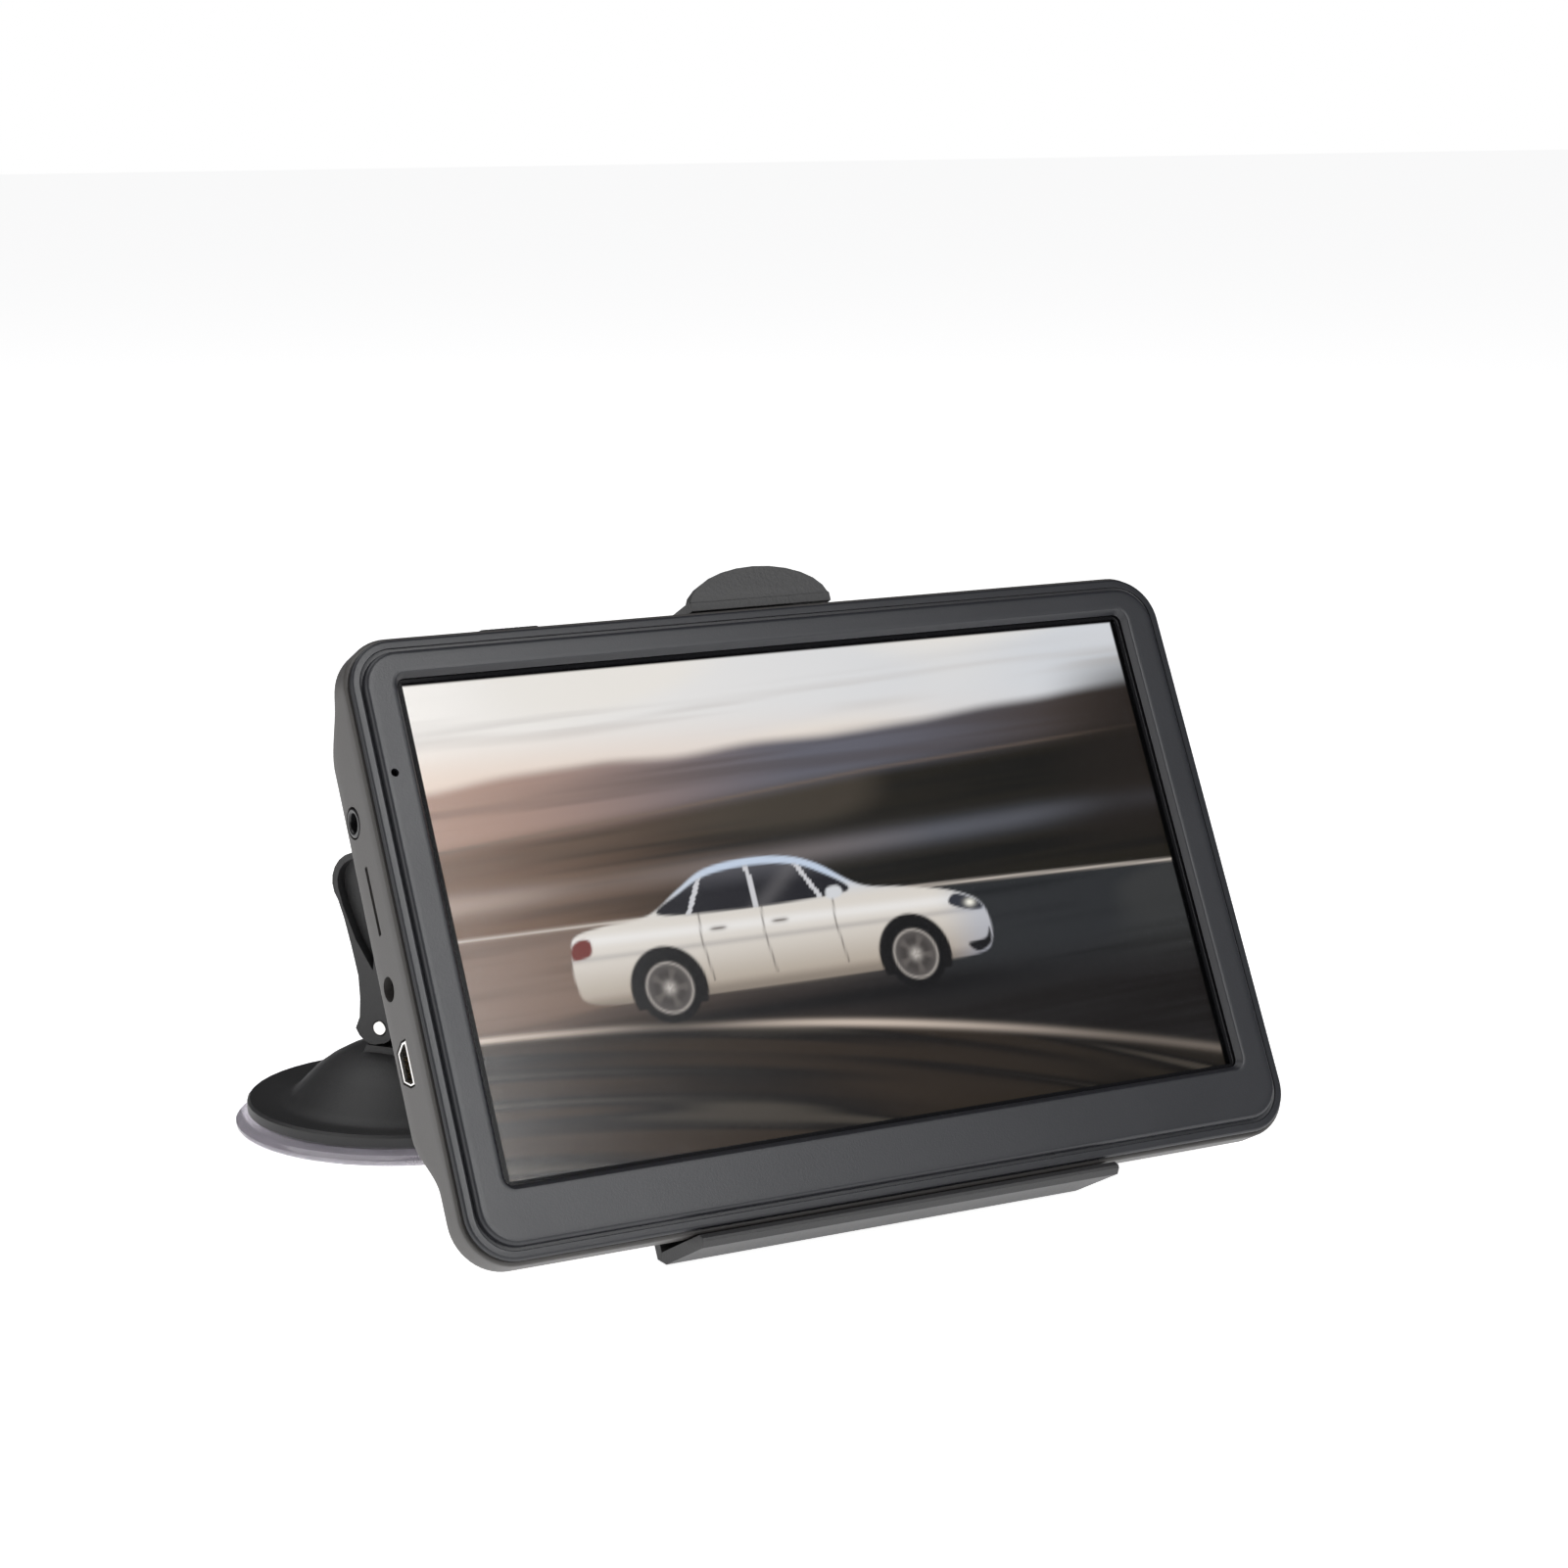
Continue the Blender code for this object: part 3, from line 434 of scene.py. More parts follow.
MIDDLE_INSET = 55.5  # the innermost outline, a slot that a cap closes
LIP_ROUND = 0.4
inner = [shell_row(by, lambda z: depth_at(z) - WALL) for by in np.linspace(MIDDLE_INSET, WALL + 1.0, 28)]
inner.append(shell_row(WALL, lambda z: depth_at(z) - WALL - 1.0))
inner.append(shell_row(WALL, lambda z: SEAM_Y + 0.3 + 0 * z))
lip_arc = round_over((0.35, SEAM_Y), (0, SEAM_Y + LIP_ROUND), 4)[1:]
lip_steps = [(WALL - 0.1, SEAM_Y), (0.5, SEAM_Y), *lip_arc]
lip = [shell_row(by, lambda z, y=y: y + 0 * z) for by, y in lip_steps]
wall = [
    shell_row(0, lambda z, t=t: SEAM_Y + LIP_ROUND + (depth_at(z) - EDGE_ROUND - SEAM_Y - LIP_ROUND) * t)
    for t in (0.2, 0.4, 0.6, 0.8)
]
turn_back = [
    shell_row(EDGE_ROUND * (1 - math.cos(a)), lambda z, a=a: depth_at(z) - EDGE_ROUND * (1 - math.sin(a)))
    for a in np.linspace(0, math.pi / 2, 7)
]
back = [shell_row(by, depth_at) for by in np.linspace(EDGE_ROUND + 0.5, MIDDLE_INSET, 50)]

warm_grey = moulded(
    "warm_grey_plastic", (0.052, 0.050, 0.049), 0.46, 3400.0, 0.000018, warm=(1.04, 1.0, 0.97),
)
shell = grid_piece(
    "rear_case", np.array(inner + lip + wall + turn_back + back), warm_grey, "navigator",
    caps=True, crease=40, replaces=["rear_shell"],
)

LEFT = -87.0
PORT_Y = 9.0
JACK_Z, CARD_Z, ROUND_Z, USB_Z = 23.2, 8.5, -7.2, -20.9
USB_MOUTH = np.array([(6.9, -3.9), (8.5, -3.9), (11.1, -2.6), (11.1, 2.6), (8.5, 3.9), (6.9, 3.9)])


def offset(outline, by):
    """Moves every side of a closed outline outwards by a distance; each corner slides on its bisector."""
    before, after = np.roll(outline, 1, axis=0), np.roll(outline, -1, axis=0)

    def normal(run):
        out = np.column_stack([run[:, 1], -run[:, 0]])
        return out / np.maximum(np.linalg.norm(out, axis=1, keepdims=True), 1e-9)

    first, second = normal(outline - before), normal(after - outline)
    middle = first + second
    middle /= np.maximum((middle * first).sum(axis=1, keepdims=True), 0.2)
    turning = outline[:, 0] @ np.roll(outline[:, 1], -1) - np.roll(outline[:, 0], -1) @ outline[:, 1]
    return outline + middle * by * math.copysign(1, turning)


def from_left(outline, depths):
    """Outlines of (depth, height) carried in from the left side, one row for each distance past it."""
    return in_unit([np.insert(outline, 0, LEFT + depth, axis=1) for depth in depths])


def bored(radius, z, deep):
    hole = turned([(radius, -4), (radius, deep)], 40)
    return cutter(in_unit(aimed(hole, (LEFT, PORT_Y, z), (1, 0, 0))))


usb_hole = offset(USB_MOUTH, 0.35) + (0, USB_Z)
card_hole = rounded_frame(7.2, 8.3, CARD_Z - 6.3, CARD_Z + 6.3, 0.25, 4)
BUTTON_X, BUTTON_HALF = -52.0, 6.0
BUTTON_GAP = 0.3
SPEAKER = (48.0, 21.0)
SLOTS = ((-6, 5.5), (-3, 8), (0, 9), (3, 8), (6, 5.5))  # height from the speaker's middle, half length
SLOT_HALF = 0.6


def slab_rows(low, high):
    """Two rows of a block between opposite corners in the unit frame."""
    (x0, y0, z0), (x1, y1, z1) = low, high
    return in_unit([[(x0, y0, z), (x1, y0, z), (x1, y1, z), (x0, y1, z)] for z in (z0, z1)])


def sound_slot(height, half):
    """A guide for one of the speaker's slots, straight through the back."""
    left, right, middle = SPEAKER[0] - half, SPEAKER[0] + half, SPEAKER[1] + height
    outline = rounded_frame(left, right, middle - SLOT_HALF, middle + SLOT_HALF, 0.55, 5)
    return cutter(in_unit([np.insert(outline, 1, y, axis=1) for y in (9, 20)]))


def screw_well(x, z):
    return cutter(in_unit(aimed(turned([(0.95, 0), (0.95, 6)], 24), (x, 4, z), (0, 1, 0))))


button_reach = BUTTON_HALF + BUTTON_GAP
carve(shell, [
    bored(2.95, JACK_Z, 4),
    bored(2.25, ROUND_Z, 4),
    cutter(from_left(usb_hole, (-4, 4))),
    cutter(from_left(card_hole, (-4, 4))),
    cutter(slab_rows((BUTTON_X - button_reach, 2.0, 50), (BUTTON_X + button_reach, 5.0, 58))),
    *(sound_slot(height, half) for height, half in SLOTS),
    *(screw_well(x, z) for x, z in POSTS),
], crease=40)

# ---- display and touch panel ----
# The display is a lit panel in a thin case, behind a sheet of clear glass whose back carries a printed black
# border. It shows a drive at dusk: a pale saloon of no make on a bend, with everything behind it streaked.
DISPLAY_BOX = ((-80.5, 1.3, -50.0), (80.5, 4.6, 47.0))
SHOWN_HALF = (76.3, 45.2)
SHAPE = 1.69  # width of the shown picture over its height


def noise_sheet(across, along_it, rows, columns, seed):
    """Smooth noise from 0 to 1: a seeded table of random numbers, with a soft step between its points."""
    table = np.random.default_rng(seed).random((rows + 2, columns + 2))
    r, c = np.clip(across, 0, 1) * rows, np.clip(along_it, 0, 1) * columns
    i, j = r.astype(int), c.astype(int)
    fr, fc = smooth(r - i), smooth(c - j)
    top = table[i, j] * (1 - fc) + table[i, j + 1] * fc
    low = table[i + 1, j] * (1 - fc) + table[i + 1, j + 1] * fc
    return top * (1 - fr) + low * fr


def tint(*values):
    """Screen colours, 0 to 255, as amounts of light."""
    return (np.array(values, float) / 255) ** 2.2


def laid(under, over, amount):
    return under + (over - under) * np.clip(amount, 0, 1)[..., None]


def plain(x, *values):
    """One screen colour all over the picture."""
    return tint(*values) + 0 * x[..., None]


def band(distance, width):
    """1 on a line and 0 away from it, as a bell of that width."""
    return np.exp(-((distance / width) ** 2))


def side_of(curve, x, t, soft):
    """0 above a curve drawn as points of (across, down), and 1 below it, with a soft edge."""
    curve = np.array(curve)
    return smooth((t - np.interp(x, curve[:, 0], curve[:, 1])) / soft + 0.5)


def inside(outline, x, t, soft):
    """1 inside a closed outline and 0 outside, with a soft edge: the distance to its nearest side, signed by
    how many sides a level line from the point crosses."""
    outline = np.array(outline, float)
    nearest, crossings = np.full(x.shape, 9.0), np.zeros(x.shape, bool)
    for (ax, at), (bx, bt) in zip(outline, np.roll(outline, -1, axis=0)):
        run_x, run_t = bx - ax, bt - at
        share = np.clip(((x - ax) * run_x + (t - at) * run_t) / (run_x**2 + run_t**2 + 1e-12), 0, 1)
        nearest = np.minimum(nearest, np.hypot(x - ax - share * run_x, t - at - share * run_t))
        spans = (at > t) != (bt > t)
        crossings ^= spans & (x < ax + (t - at) * run_x / (run_t + 1e-12))
    return smooth(np.where(crossings, nearest, -nearest) / soft + 0.5)


def flowing(points, steps=6):
    """A closed smooth line through a few points: each stretch is a cubic that leaves a point in the
    direction from the point before it to the one after it."""
    p = np.array(points, float)
    before, after, beyond = np.roll(p, 1, axis=0), np.roll(p, -1, axis=0), np.roll(p, -2, axis=0)
    t = np.arange(steps)[:, None, None] / steps
    square = 2 * before - 5 * p + 4 * after - beyond
    cube = 3 * p - before - 3 * after + beyond
    line = 0.5 * (2 * p + (after - before) * t + square * t**2 + cube * t**3)
    return line.transpose(1, 0, 2).reshape(-1, 2)


def landscape(x, t):
    """Colours of the streaked evening: x runs across from 0 to SHAPE, t down from 0 to 1."""
    u = x / SHAPE
    lean = t + 0.05 * (u - 0.3)
    streak = noise_sheet(lean * 0.8 + 0.1, u, 46, 3, 3) * 0.6
    streak = streak + noise_sheet(lean * 0.8 + 0.1, u, 140, 5, 4) * 0.4
    broad = noise_sheet(t + 0.13 * u - 0.05, u, 9, 4, 8)
    sky = laid(plain(x, 243, 239, 234), plain(x, 214, 217, 222), u * 1.1)
    sky = laid(sky, tint(236, 232, 226), smooth((broad - 0.35) * 2.5))
    sky = laid(sky, tint(186, 180, 176), smooth((streak - 0.55) * 3) * 0.45 * smooth(t * 9))
    sky = laid(sky, tint(232, 214, 200), smooth((t - 0.1) * 9) * (1 - u))
    hills = laid(plain(x, 168, 137, 122), plain(x, 98, 98, 108), smooth(u * 1.9))
    hills = laid(hills, tint(66, 58, 54), smooth((u - 0.55) * 2.4))
    hills = laid(hills, tint(62, 52, 46), smooth((streak - 0.4) * 2) * 0.4)
    crest = 0.205 - 0.085 * u + 0.018 * noise_sheet(u, u * 0, 9, 1, 5)
    crest = crest + 0.02 * noise_sheet(u, u * 0, 4, 1, 12)
    view = laid(sky, hills, smooth((t - crest) / 0.03 + 0.5))
    slope = laid(plain(x, 112, 86, 68), plain(x, 32, 29, 20), smooth(u * 2.1))
    slope = laid(slope, tint(17, 17, 11), smooth((streak - 0.3) * 1.8) * smooth(u * 2.4 + 0.15))
    slope = laid(slope, tint(84, 76, 66), smooth((broad - 0.5) * 3) * 0.5)
    bank = [(0, 0.345), (0.5, 0.31), (1.0, 0.27), (1.69, 0.235)]
    view = laid(view, slope, side_of(bank, x, t, 0.05))
    rail = np.interp(x, [p[0] for p in bank], [p[1] for p in bank])
    view = laid(view, tint(116, 100, 88), band(t - rail, 0.0035) * (0.75 - 0.4 * u))
    lake = band(t - 0.455 + 0.055 * u, 0.024) * smooth(noise_sheet(u, u * 0, 5, 1, 21) * 0.8 + 0.35)
    view = laid(view, laid(plain(x, 168, 148, 136), plain(x, 96, 98, 106), u * 1.5), lake * 0.85)
    verge = band(t - 0.4 - 0.03 * u, 0.03) * smooth((u - 0.6) * 3)
    view = laid(view, tint(22, 21, 15), verge * 0.4)
    road = laid(plain(x, 128, 106, 93), plain(x, 46, 48, 50), smooth(u * 1.5))
    road = laid(road, tint(16, 20, 22), smooth((streak - 0.35) * 2) * (0.35 + 0.5 * u))
    road = laid(road, tint(72, 72, 70), smooth((broad - 0.55) * 4) * 0.35)
    road = laid(road, tint(24, 18, 10), smooth((t - 0.66) * 7) * 0.7)
    kerb = 0.525 + 0.012 * (u - 0.35) + 0.02 * (u - 0.35) ** 2
    view = laid(view, road, smooth((t - kerb) / 0.02 + 0.5))
    view = laid(view, tint(206, 196, 186), band(t - kerb, 0.0032) * 0.85)
    line = 0.722 + 0.05 * u + 0.19 * u**2
    near = laid(plain(x, 52, 40, 28), plain(x, 40, 36, 30), u)
    sweep = noise_sheet((t - 0.25 * u**2 - 0.1 * u) * 0.9 + 0.1, u, 60, 3, 31)
    near = laid(near, tint(12, 10, 6), smooth((sweep - 0.3) * 2) * 0.9)
    near = laid(near, tint(84, 78, 70), smooth((sweep - 0.72) * 4) * 0.6)
    view = laid(view, near, smooth((t - line) / 0.02 + 0.5))
    fade = 0.95 - 0.75 * smooth((u - 0.45) * 2.2)
    view = laid(view, tint(214, 198, 184), band(t - line, (0.006 + 0.004 * u)) * fade)
    shade = smooth((u - 0.86 + 0.25 * (t - 0.1)) * 6) * smooth((t - 0.03) * 8) * (1 - smooth((t - 0.42) * 8))
    return laid(view, tint(34, 29, 24), shade * 0.8)


def saloon(view, x, t):
    """The car in side view: a three-box body over two wheels, drawn back to front."""
    soft = 0.006
    x0, base = 0.235, 0.735
    s, h = (x - x0) / 0.97, (base - t) / 0.97
    shadow = np.exp(-(((s - 0.52) / 0.56) ** 4) - ((h + 0.005) / 0.03) ** 2)
    view = laid(view, tint(8, 8, 8), shadow * 0.95)
    body = flowing([
        (0.0, 0.10), (0.005, 0.165), (0.02, 0.198), (0.09, 0.212), (0.19, 0.222), (0.27, 0.268),
        (0.34, 0.305), (0.44, 0.318), (0.54, 0.312), (0.61, 0.288), (0.70, 0.232), (0.80, 0.216),
        (0.91, 0.196), (0.975, 0.168), (0.995, 0.13), (0.99, 0.075), (0.95, 0.05), (0.80, 0.045),
        (0.5, 0.042), (0.2, 0.045), (0.03, 0.055),
    ])
    cover = inside(body, s, h, soft)
    tone = laid(plain(x, 222, 216, 208), plain(x, 176, 164, 150), smooth((0.17 - h) * 8))
    tone = laid(tone, tint(196, 210, 230), smooth((h - 0.2) * 14) * smooth((s - 0.2) * 3 + 0.4))
    tone = laid(tone, tint(240, 238, 236), band(h - 0.185 + 0.012 * s, 0.012) * 0.8)
    tone = laid(tone, tint(150, 146, 146), band(h - 0.148, 0.006) * 0.45)
    tone = laid(tone, tint(120, 110, 100), smooth((0.075 - h) * 40) * 0.7)
    tone = laid(tone, tint(160, 172, 196), smooth((s - 0.86) * 8) * 0.5)
    view = laid(view, tone, cover)
    glass = flowing([
        (0.215, 0.222), (0.275, 0.262), (0.345, 0.292), (0.44, 0.302), (0.535, 0.297),
        (0.60, 0.276), (0.672, 0.225), (0.55, 0.214), (0.38, 0.212),
    ])
    pane = laid(plain(x, 30, 30, 36), plain(x, 92, 92, 98), smooth((h - 0.25) * 16) * 0.8)
    pane = laid(pane, tint(120, 118, 120), band(s - 0.5 - (h - 0.25) * 1.2, 0.03) * 0.35)
    view = laid(view, pane, inside(glass, s, h, soft))
    for foot, lean in ((0.445, -0.05), (0.598, -0.55), (0.288, 0.55)):
        pillar = np.abs(s - foot - (h - 0.22) * lean) < 0.006
        view = laid(view, tint(206, 206, 210), inside(glass, s, h, soft) * pillar)
    for door in (0.302, 0.45, 0.622):
        seam = band(s - door - 0.1 * np.abs(h - 0.16), 0.0022) * (h > 0.07) * (h < 0.214)
        view = laid(view, tint(96, 90, 86), seam * 0.7)
    for grip in (0.345, 0.492):
        handle = np.exp(-(((s - grip) / 0.019) ** 4) - ((h - 0.178) / 0.004) ** 2)
        view = laid(view, tint(118, 112, 108), handle)
    head_lamp = flowing([(0.905, 0.166), (0.925, 0.186), (0.972, 0.168), (0.985, 0.148), (0.95, 0.148)])
    view = laid(view, tint(52, 54, 62), inside(head_lamp, s, h, soft))
    gleam = np.exp(-(((s - 0.957) / 0.012) ** 2) - ((h - 0.163) / 0.008) ** 2)
    view = laid(view, tint(255, 252, 240), gleam)
    tail_lamp = flowing([(0.006, 0.15), (0.008, 0.178), (0.03, 0.19), (0.05, 0.184), (0.045, 0.156)])
    view = laid(view, tint(112, 44, 38), inside(tail_lamp, s, h, soft))
    air_inlet = flowing([(0.93, 0.075), (0.975, 0.082), (0.99, 0.105), (0.985, 0.07), (0.95, 0.055)])
    view = laid(view, tint(24, 24, 26), inside(air_inlet, s, h, soft))
    for hub in (0.205, 0.795):
        r = np.hypot(s - hub, h - 0.068)
        view = laid(view, tint(16, 15, 15), smooth((0.088 - r) / soft + 0.5) * (h > 0.03))
        view = laid(view, tint(10, 10, 10), smooth((0.074 - r) / soft + 0.5))
        rim = laid(plain(x, 84, 80, 78), plain(x, 52, 48, 46), smooth((0.05 - r) * 30))
        rim = laid(rim, tint(168, 162, 156), band(r - 0.052, 0.003) * 0.9)
        rim = laid(rim, tint(196, 190, 184), band(r, 0.014))
        blur = np.cos(5 * np.arctan2(h - 0.068, s - hub) + hub)
        rim = laid(rim, tint(120, 114, 110), smooth(blur) * smooth((0.05 - r) * 60) * 0.45)
        view = laid(view, rim, smooth((0.056 - r) / soft + 0.5))
    mirror = flowing([(0.615, 0.212), (0.618, 0.232), (0.645, 0.236), (0.655, 0.222), (0.64, 0.21)])
    return laid(view, tint(214, 216, 220), inside(mirror, s, h, soft))


(x0, y0, z0), (x1, y1, z1) = DISPLAY_BOX
DOTS = (420, 234)
columns = np.concatenate([[x0], np.linspace(-SHOWN_HALF[0] - 0.05, SHOWN_HALF[0] + 0.05, DOTS[0]), [x1]])
levels = np.concatenate([[z0], np.linspace(-SHOWN_HALF[1] - 0.05, SHOWN_HALF[1] + 0.05, DOTS[1]), [z1]])
sheet_x, sheet_z = np.meshgrid(columns, levels)
across = (sheet_x / SHOWN_HALF[0] + 1) / 2 * SHAPE
down = (1 - sheet_z / SHOWN_HALF[1]) / 2
picture = saloon(landscape(across, down), across, down)
lit = (np.abs(sheet_x) <= SHOWN_HALF[0]) & (np.abs(sheet_z) <= SHOWN_HALF[1])
UNLIT = 0.0005
picture = np.where(lit[..., None], picture, UNLIT)

front = np.stack([sheet_x, np.full(sheet_x.shape, y0), sheet_z], axis=-1)
count_z, count_x = sheet_x.shape
order = np.arange(front[..., 0].size).reshape(count_z, count_x)
quads = np.stack([order[:-1, :-1], order[:-1, 1:], order[1:, 1:], order[1:, :-1]], axis=-1)
rim = np.concatenate([order[0, :-1], order[:-1, -1], order[-1, :0:-1], order[:0:-1, 0]])
rear = front.reshape(-1, 3)[rim] + (0, y1 - y0, 0)
rear_order = order.size + np.arange(len(rim))
sides = np.stack([rim, rear_order, np.roll(rear_order, -1), np.roll(rim, -1)], axis=-1).tolist()
display_mesh = bpy.data.meshes.new("display_module")
display_points = in_unit(np.vstack([front.reshape(-1, 3), rear])).tolist()
display_mesh.from_pydata(display_points, [], quads.reshape(-1, 4).tolist() + sides + [rear_order.tolist()])
light = display_mesh.attributes.new("picture", "FLOAT_COLOR", "POINT")
colours = np.ones((order.size + len(rim), 4))
colours[: order.size, :3] = picture.reshape(-1, 3)
colours[order.size :, :3] = UNLIT
light.data.foreach_set("color", colours.ravel())
display = bpy.data.objects.new("display_module", display_mesh)
scene.collection.objects.link(display)
tidy_faces = bmesh.new()
tidy_faces.from_mesh(display_mesh)
bmesh.ops.recalc_face_normals(tidy_faces, faces=tidy_faces.faces)
tidy_faces.to_mesh(display_mesh)
tidy_faces.free()
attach(display, "navigator")
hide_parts("lcd_panel")

lit_panel = Finish("lit_panel")
dots = lit_panel.noise(5000.0, 0.0)
display_mesh.materials.append(lit_panel.surface({
    "Base Color": (0.006, 0.006, 0.007),
    "Roughness": dots * 0.05 + 0.16,
    "Emission Color": lit_panel.node("ShaderNodeAttribute", {"attribute_name": "picture"}, out="Color"),
    "Emission Strength": 1.0,
}))

print_glass = Finish("printed_glass")
LEAN = math.atan2(UNIT_AXES[1][2], UNIT_AXES[1][1])
upright = print_glass.node("ShaderNodeMapping", {"vector_type": "TEXTURE"}, {
    "Vector": print_glass.place(), "Location": tuple(UNIT_ORIGIN), "Rotation": (LEAN, 0.0, 0.0),
})
split = print_glass.tree.nodes.new("ShaderNodeSeparateXYZ")
print_glass.fill(split.inputs[0], upright)
beside = Amount(print_glass, split.outputs[0]).size() - SHOWN_HALF[0] * MM
above = Amount(print_glass, split.outputs[2]).size() - SHOWN_HALF[1] * MM
border = beside.most(above).ramp(0.0, 0.00012)
smears = print_glass.noise(26.0, 4.0)
glass_finish = print_glass.surface({
    "Base Color": print_glass.mixed(smears, (0.004, 0.004, 0.005), (0.010, 0.010, 0.011)),
    "Roughness": smears * 0.08 + 0.04,
    "Alpha": border.ramp(0.0, 1.0, 0.05, 1.0),
})
frame["nodes"]["touch_panel"].data.materials.clear()
frame["nodes"]["touch_panel"].data.materials.append(glass_finish)

# ---- sockets on the left side ----
# An earphone jack in a black bush, a spring card slot, a round socket for audio and video, and a mini USB
# socket: a folded, nickel-plated steel mouth round a black tongue with five gilt contacts.
black_plastic = moulded("gloss_black_plastic", (0.010, 0.010, 0.011), 0.32, 2400.0, 0.000008)

jack_profile = [(0, -12), (2.4, -12), (2.4, -1.9), (2.65, -1.9), (2.65, -0.2), (2.62, -0.05), (2.5, 0.06)]
jack_profile += [(2.3, 0.1), (2.05, 0.09), (1.9, 0.0), (1.78, -0.15), (1.75, -0.4), (1.75, -10), (0, -10)]
grid_piece(
    "jack_bush", in_unit(aimed(turned(jack_profile), (LEFT, PORT_Y, JACK_Z), (-1, 0, 0))),
    black_plastic, "navigator", replaces=["earphone_jack"],
)
round_profile = [(0, -10), (2.4, -10), (2.4, -2.0), (2.3, -1.9), (2.0, -1.9), (1.9, -2.0), (1.9, -8.5)]
round_profile += [(0.6, -8.5), (0.55, -4.0), (0.3, -3.6), (0, -3.5)]  # the centre pin
grid_piece(
    "round_socket", in_unit(aimed(turned(round_profile), (LEFT, PORT_Y, ROUND_Z), (-1, 0, 0))),
    black_plastic, "navigator", replaces=["av_jack"],
)


def metal(name, colour, roughness, grain=700.0, depth=0.000004):
    """Bright metal: faint drawn lines in the gloss and a slight waviness of the sheet."""
    finish = Finish(name)
    brushed = finish.node("ShaderNodeMapping", {}, {"Vector": finish.place(), "Scale": (1.0, 1.0, 14.0)})
    lines = finish.noise(grain, 3.0, brushed)
    finish.surface({
        "Base Color": finish.mixed(lines, tuple(c * 0.86 for c in colour), colour),
        "Metallic": 1.0,
        "Roughness": lines * 0.16 + (roughness - 0.08),
        "Normal": finish.relief(lines, depth),
    })
    return finish.material


bright_steel = metal("nickel_plate", (0.80, 0.79, 0.77), 0.22)
gilt = metal("gilt_contact", (0.83, 0.58, 0.24), 0.25)


def usb_row(by, depth):
    return from_left(offset(USB_MOUTH, by) + (0, USB_Z), [depth])[0]


usb_rows = [(0.0, 9.0), (0.0, 0.12), (-0.06, 0.05), (-0.34, 0.05), (-0.4, 0.12), (-0.4, 7.5)]
grid_piece(
    "usb_mouth", np.array([usb_row(by, depth) for by, depth in usb_rows]),
    bright_steel, "navigator", caps=True, crease=25, replaces=["usb_socket"],
)
TONGUE_BACK = 9.3
tongue = rounded_frame(8.4, TONGUE_BACK, USB_Z - 2.2, USB_Z + 2.2, 0.2, 3)
tongue_steps = ((-0.15, 1.0), (0.0, 1.2), (0.0, 7.2))
grid_piece(
    "usb_insert", np.array([from_left(offset(tongue, by), [depth])[0] for by, depth in tongue_steps]),
    black_plastic, "navigator", caps=True, replaces=["usb_tongue"],
)
CONTACT_PITCH = 0.8
for number in range(5):
    z = USB_Z + (number - 2) * CONTACT_PITCH
    rows = slab_rows((LEFT + 1.3, TONGUE_BACK, z - 0.2), (LEFT + 6.8, TONGUE_BACK + 0.12, z + 0.2))
    grid_piece(f"usb_contact_{number + 1}", rows, gilt, "navigator", caps=True)


def refined(name, node, finish, body, edge=0.25, crease=32, segments=2):
    """A CAD solid's own form, its loose triangles joined and its flat faces merged, with rounded edges."""
    piece = bpy.data.objects.new(name, frame["nodes"][node].data.copy())
    scene.collection.objects.link(piece)
    piece.data.materials.clear()
    piece.data.materials.append(finish)
    work = bmesh.new()
    work.from_mesh(piece.data)
    bmesh.ops.remove_doubles(work, verts=work.verts, dist=1e-6)
    bmesh.ops.dissolve_limit(work, angle_limit=math.radians(0.6), verts=work.verts, edges=work.edges)
    work.to_mesh(piece.data)
    work.free()
    piece.data.shade_smooth()
    piece.data.set_sharp_from_angle(angle=math.radians(crease))
    rounding = piece.modifiers.new("rounding", "BEVEL")
    rounding.width, rounding.segments = edge * MM, segments
    rounding.limit_method, rounding.angle_limit = "ANGLE", math.radians(crease)
    rounding.harden_normals = True
    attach(piece, body)
    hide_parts(node)
    return piece


refined("card_cage", "card_socket", bright_steel, "navigator", 0.12)

# ---- power button and case screws ----
# The button is a black moulded bar with a ribbed top. The screws are nickel-plated pan heads with a cross.
button_rows = []
for by, z in ((0.0, 50.8), (0.0, 54.3), (0.1, 54.55), (0.25, 54.7), (0.45, 54.78), (0.9, 54.8)):
    half = BUTTON_HALF - by
    plan = rounded_frame(BUTTON_X - half, BUTTON_X + half, 2.3 + by, 4.7 - by, max(0.6 - by, 0.05), 5)
    button_rows.append(in_unit(np.insert(plan, 2, z, axis=1)))
button = grid_piece(
    "button_cap", np.array(button_rows), black_plastic, "button",
    caps=True, replaces=["power_button"],
)
RIB_GAP = 0.14
gaps = BUTTON_X + np.arange(-4, 4.1, 1.0)
carve(button, [cutter(slab_rows((x - RIB_GAP, 1.5, 54.62), (x + RIB_GAP, 5.5, 56))) for x in gaps])
head_profile = [(0, -5.6), (0.45, -5.6), (0.6, -5.2), (0.6, 0.3), (1.6, 0.3), (1.7, 0.4), (1.68, 0.62)]
head_profile += [(1.5, 0.86), (1.1, 1.02), (0.6, 1.09), (0, 1.1)]
CROSS_BARS = ((0.85, 0.16), (0.16, 0.85))
for number, (x, z) in enumerate(POSTS, 1):
    screw = grid_piece(
        f"pan_screw_{number}", in_unit(aimed(turned(head_profile, 32), (x, EDGE_DEPTH, z), (0, 1, 0))),
        bright_steel, "navigator", replaces=[f"case_screw_{number}"],
    )
    bars = [slab_rows((x - a, 7.35, z - b), (x + a, 9.0, z + b)) for a, b in CROSS_BARS]
    carve(screw, [cutter(bar) for bar in bars])

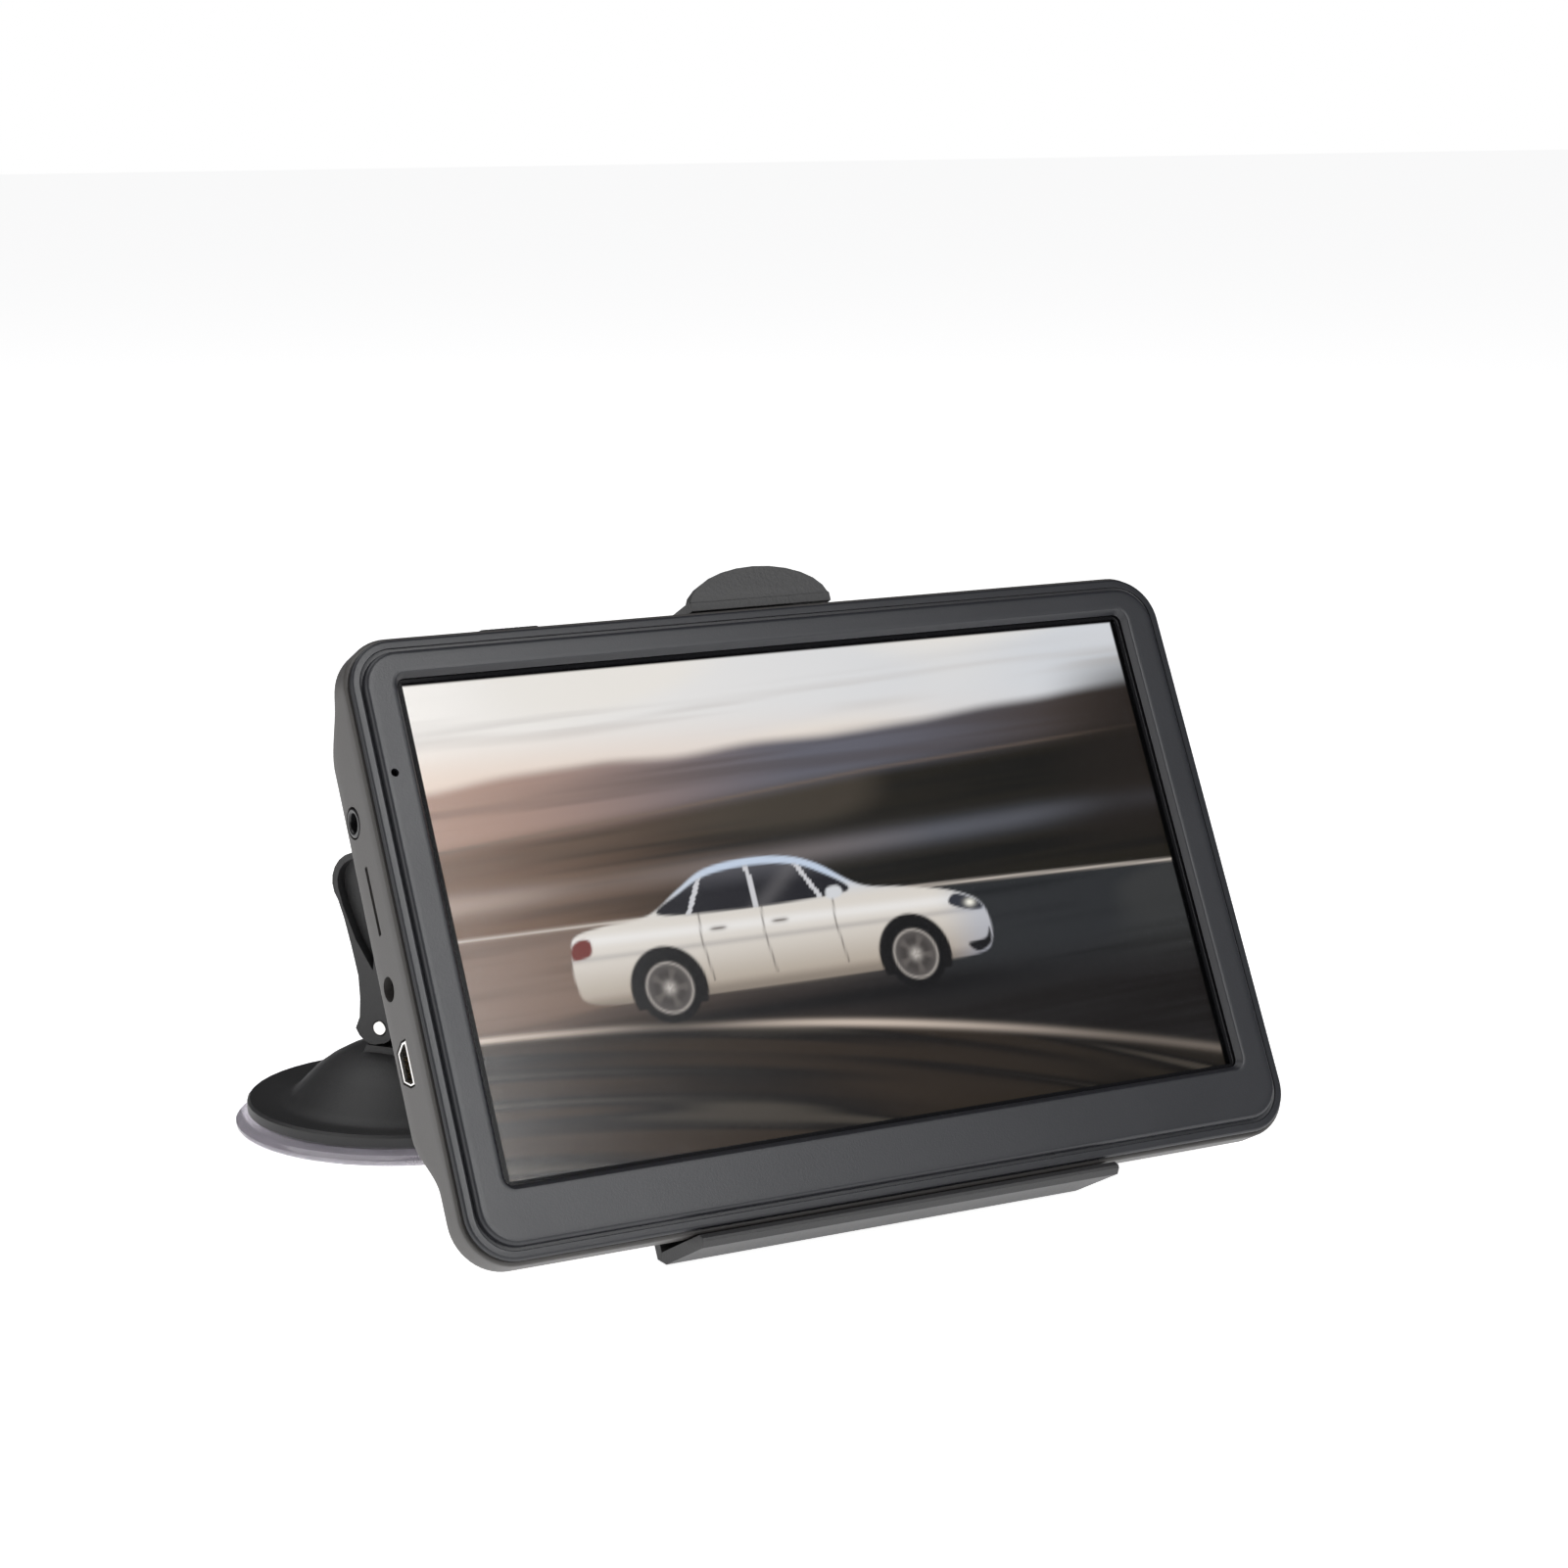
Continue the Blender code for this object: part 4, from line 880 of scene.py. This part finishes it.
# ---- inside the housing ----
# The main board in green solder mask with its tinned can and ceramic antenna, the foil pouch cell, the
# speaker, the microphone and the amber film ribbon. None of it shows while the case is shut.
board_finish = Finish("board_mask")
lanes = board_finish.node("ShaderNodeTexBrick", {"offset": 0.3}, {
    "Vector": board_finish.place(), "Scale": 260.0, "Mortar Size": 0.06,
    "Color1": (0.010, 0.070, 0.028, 1.0),
    "Color2": (0.014, 0.095, 0.036, 1.0),
    "Mortar": (0.03, 0.16, 0.06, 1.0),
})
speck = board_finish.noise(900.0, 1.0)
board = board_finish.surface({
    "Base Color": lanes,
    "Roughness": speck * 0.2 + 0.25,
    "Normal": board_finish.relief(speck, 0.00001),
})
cell = moulded("cell_foil", (0.52, 0.53, 0.55), 0.35, 300.0, 0.00004)
ceramic = moulded("antenna_ceramic", (0.55, 0.50, 0.42), 0.55, 1500.0, 0.00001)
ribbon = moulded("amber_film", (0.42, 0.19, 0.04), 0.3, 400.0, 0.00001)
refined("main_board", "main_pcb", board, "navigator", 0.1)
refined("tin_can", "shield_can", bright_steel, "navigator", 0.3)
refined("patch_antenna", "gps_antenna", ceramic, "navigator", 0.3)
refined("pouch_cell", "battery_cell", cell, "navigator", 0.6, segments=3)
refined("film_ribbon", "display_ribbon", ribbon, "navigator", 0.05)
refined("mic_capsule", "microphone", black_plastic, "navigator", 0.1)
cone = [(0, 0), (10.7, 0), (11, 0.2), (11, 1.5), (10.8, 1.6), (10.2, 1.6)]
cone += [(7.2, 1.75), (7, 2.0), (7, 4.4), (6.8, 4.6), (0, 4.6)]
grid_piece(
    "speaker_unit", in_unit(aimed(turned(cone), (SPEAKER[0], 11.0, SPEAKER[1]), (0, -1, 0))),
    black_plastic, "navigator", replaces=["loudspeaker"],
)

# ---- cradle ----
# One moulding in black nylon with a fine matt grain: a back plate, the ledge that carries the unit and two
# ears for the clip's steel pin. The ball's stem is pressed into its round boss.
fine_black = moulded("matt_black_nylon", (0.024, 0.024, 0.025), 0.52, 2100.0, 0.00005, mottle=0.2)
refined("cradle_moulding", "cradle", fine_black, "cradle", 0.5, segments=3)
refined("ball_shank", "ball_stem", fine_black, "cradle", 0.2)
refined("clip_axle", "clip_pin", bright_steel, "cradle", 0.2)

# ---- top clip ----
# A sprung clip hooked over the top edge, moulded in the same nylon. Its round finger tab has a grain deep
# enough to see, and it turns on the cradle's steel pin.
tab_grain = moulded("grained_nylon", (0.040, 0.040, 0.041), 0.58, 1500.0, 0.00012, mottle=0.25)
refined("finger_clip", "top_clip", tab_grain, "clip", 0.35, crease=40)

# ---- ball joint, swing arm and nuts ----
# The ball, its socket on the arm, the ribbed ring nut that clamps it, the steel bolt through the base's fork
# and the five-lobed thumb nut on its end.
refined("joint_ball", "mount_ball", fine_black, "ball", 0.1)
refined("curved_arm", "swing_arm", fine_black, "arm", 0.4)
refined("ring_nut", "clamp_nut", fine_black, "clamp_nut", 0.3)
refined("fork_bolt", "pivot_bolt", bright_steel, "base", 0.15)
refined("lobed_nut", "thumb_nut", fine_black, "thumb_nut", 0.5)

# ---- suction base ----
# A black dome with a flange, a square neck for the lever and a fork for the arm, all one moulding, over a
# clear, faintly lilac vinyl cup.
refined("base_moulding", "suction_base", fine_black, "base", 0.3)
refined("cup_stem", "pull_stem", black_plastic, "stem", 0.2)
refined("lever_axle", "lever_pin", bright_steel, "lever", 0.15)
refined("cam_lever", "lock_lever", fine_black, "lever", 0.5)

vinyl = Finish("clear_lilac_vinyl")
cloud = vinyl.noise(60.0, 3.0)
vinyl_finish = vinyl.surface({
    "Base Color": vinyl.mixed(cloud, (0.86, 0.82, 0.90), (0.93, 0.90, 0.96)),
    "Roughness": cloud * 0.1 + 0.08,
    "IOR": 1.5,
    "Transmission Weight": 0.85,
    "Normal": vinyl.relief(cloud, 0.0001, 0.4),
})
refined("vinyl_cup", "suction_pad", vinyl_finish, "base", 0.15)
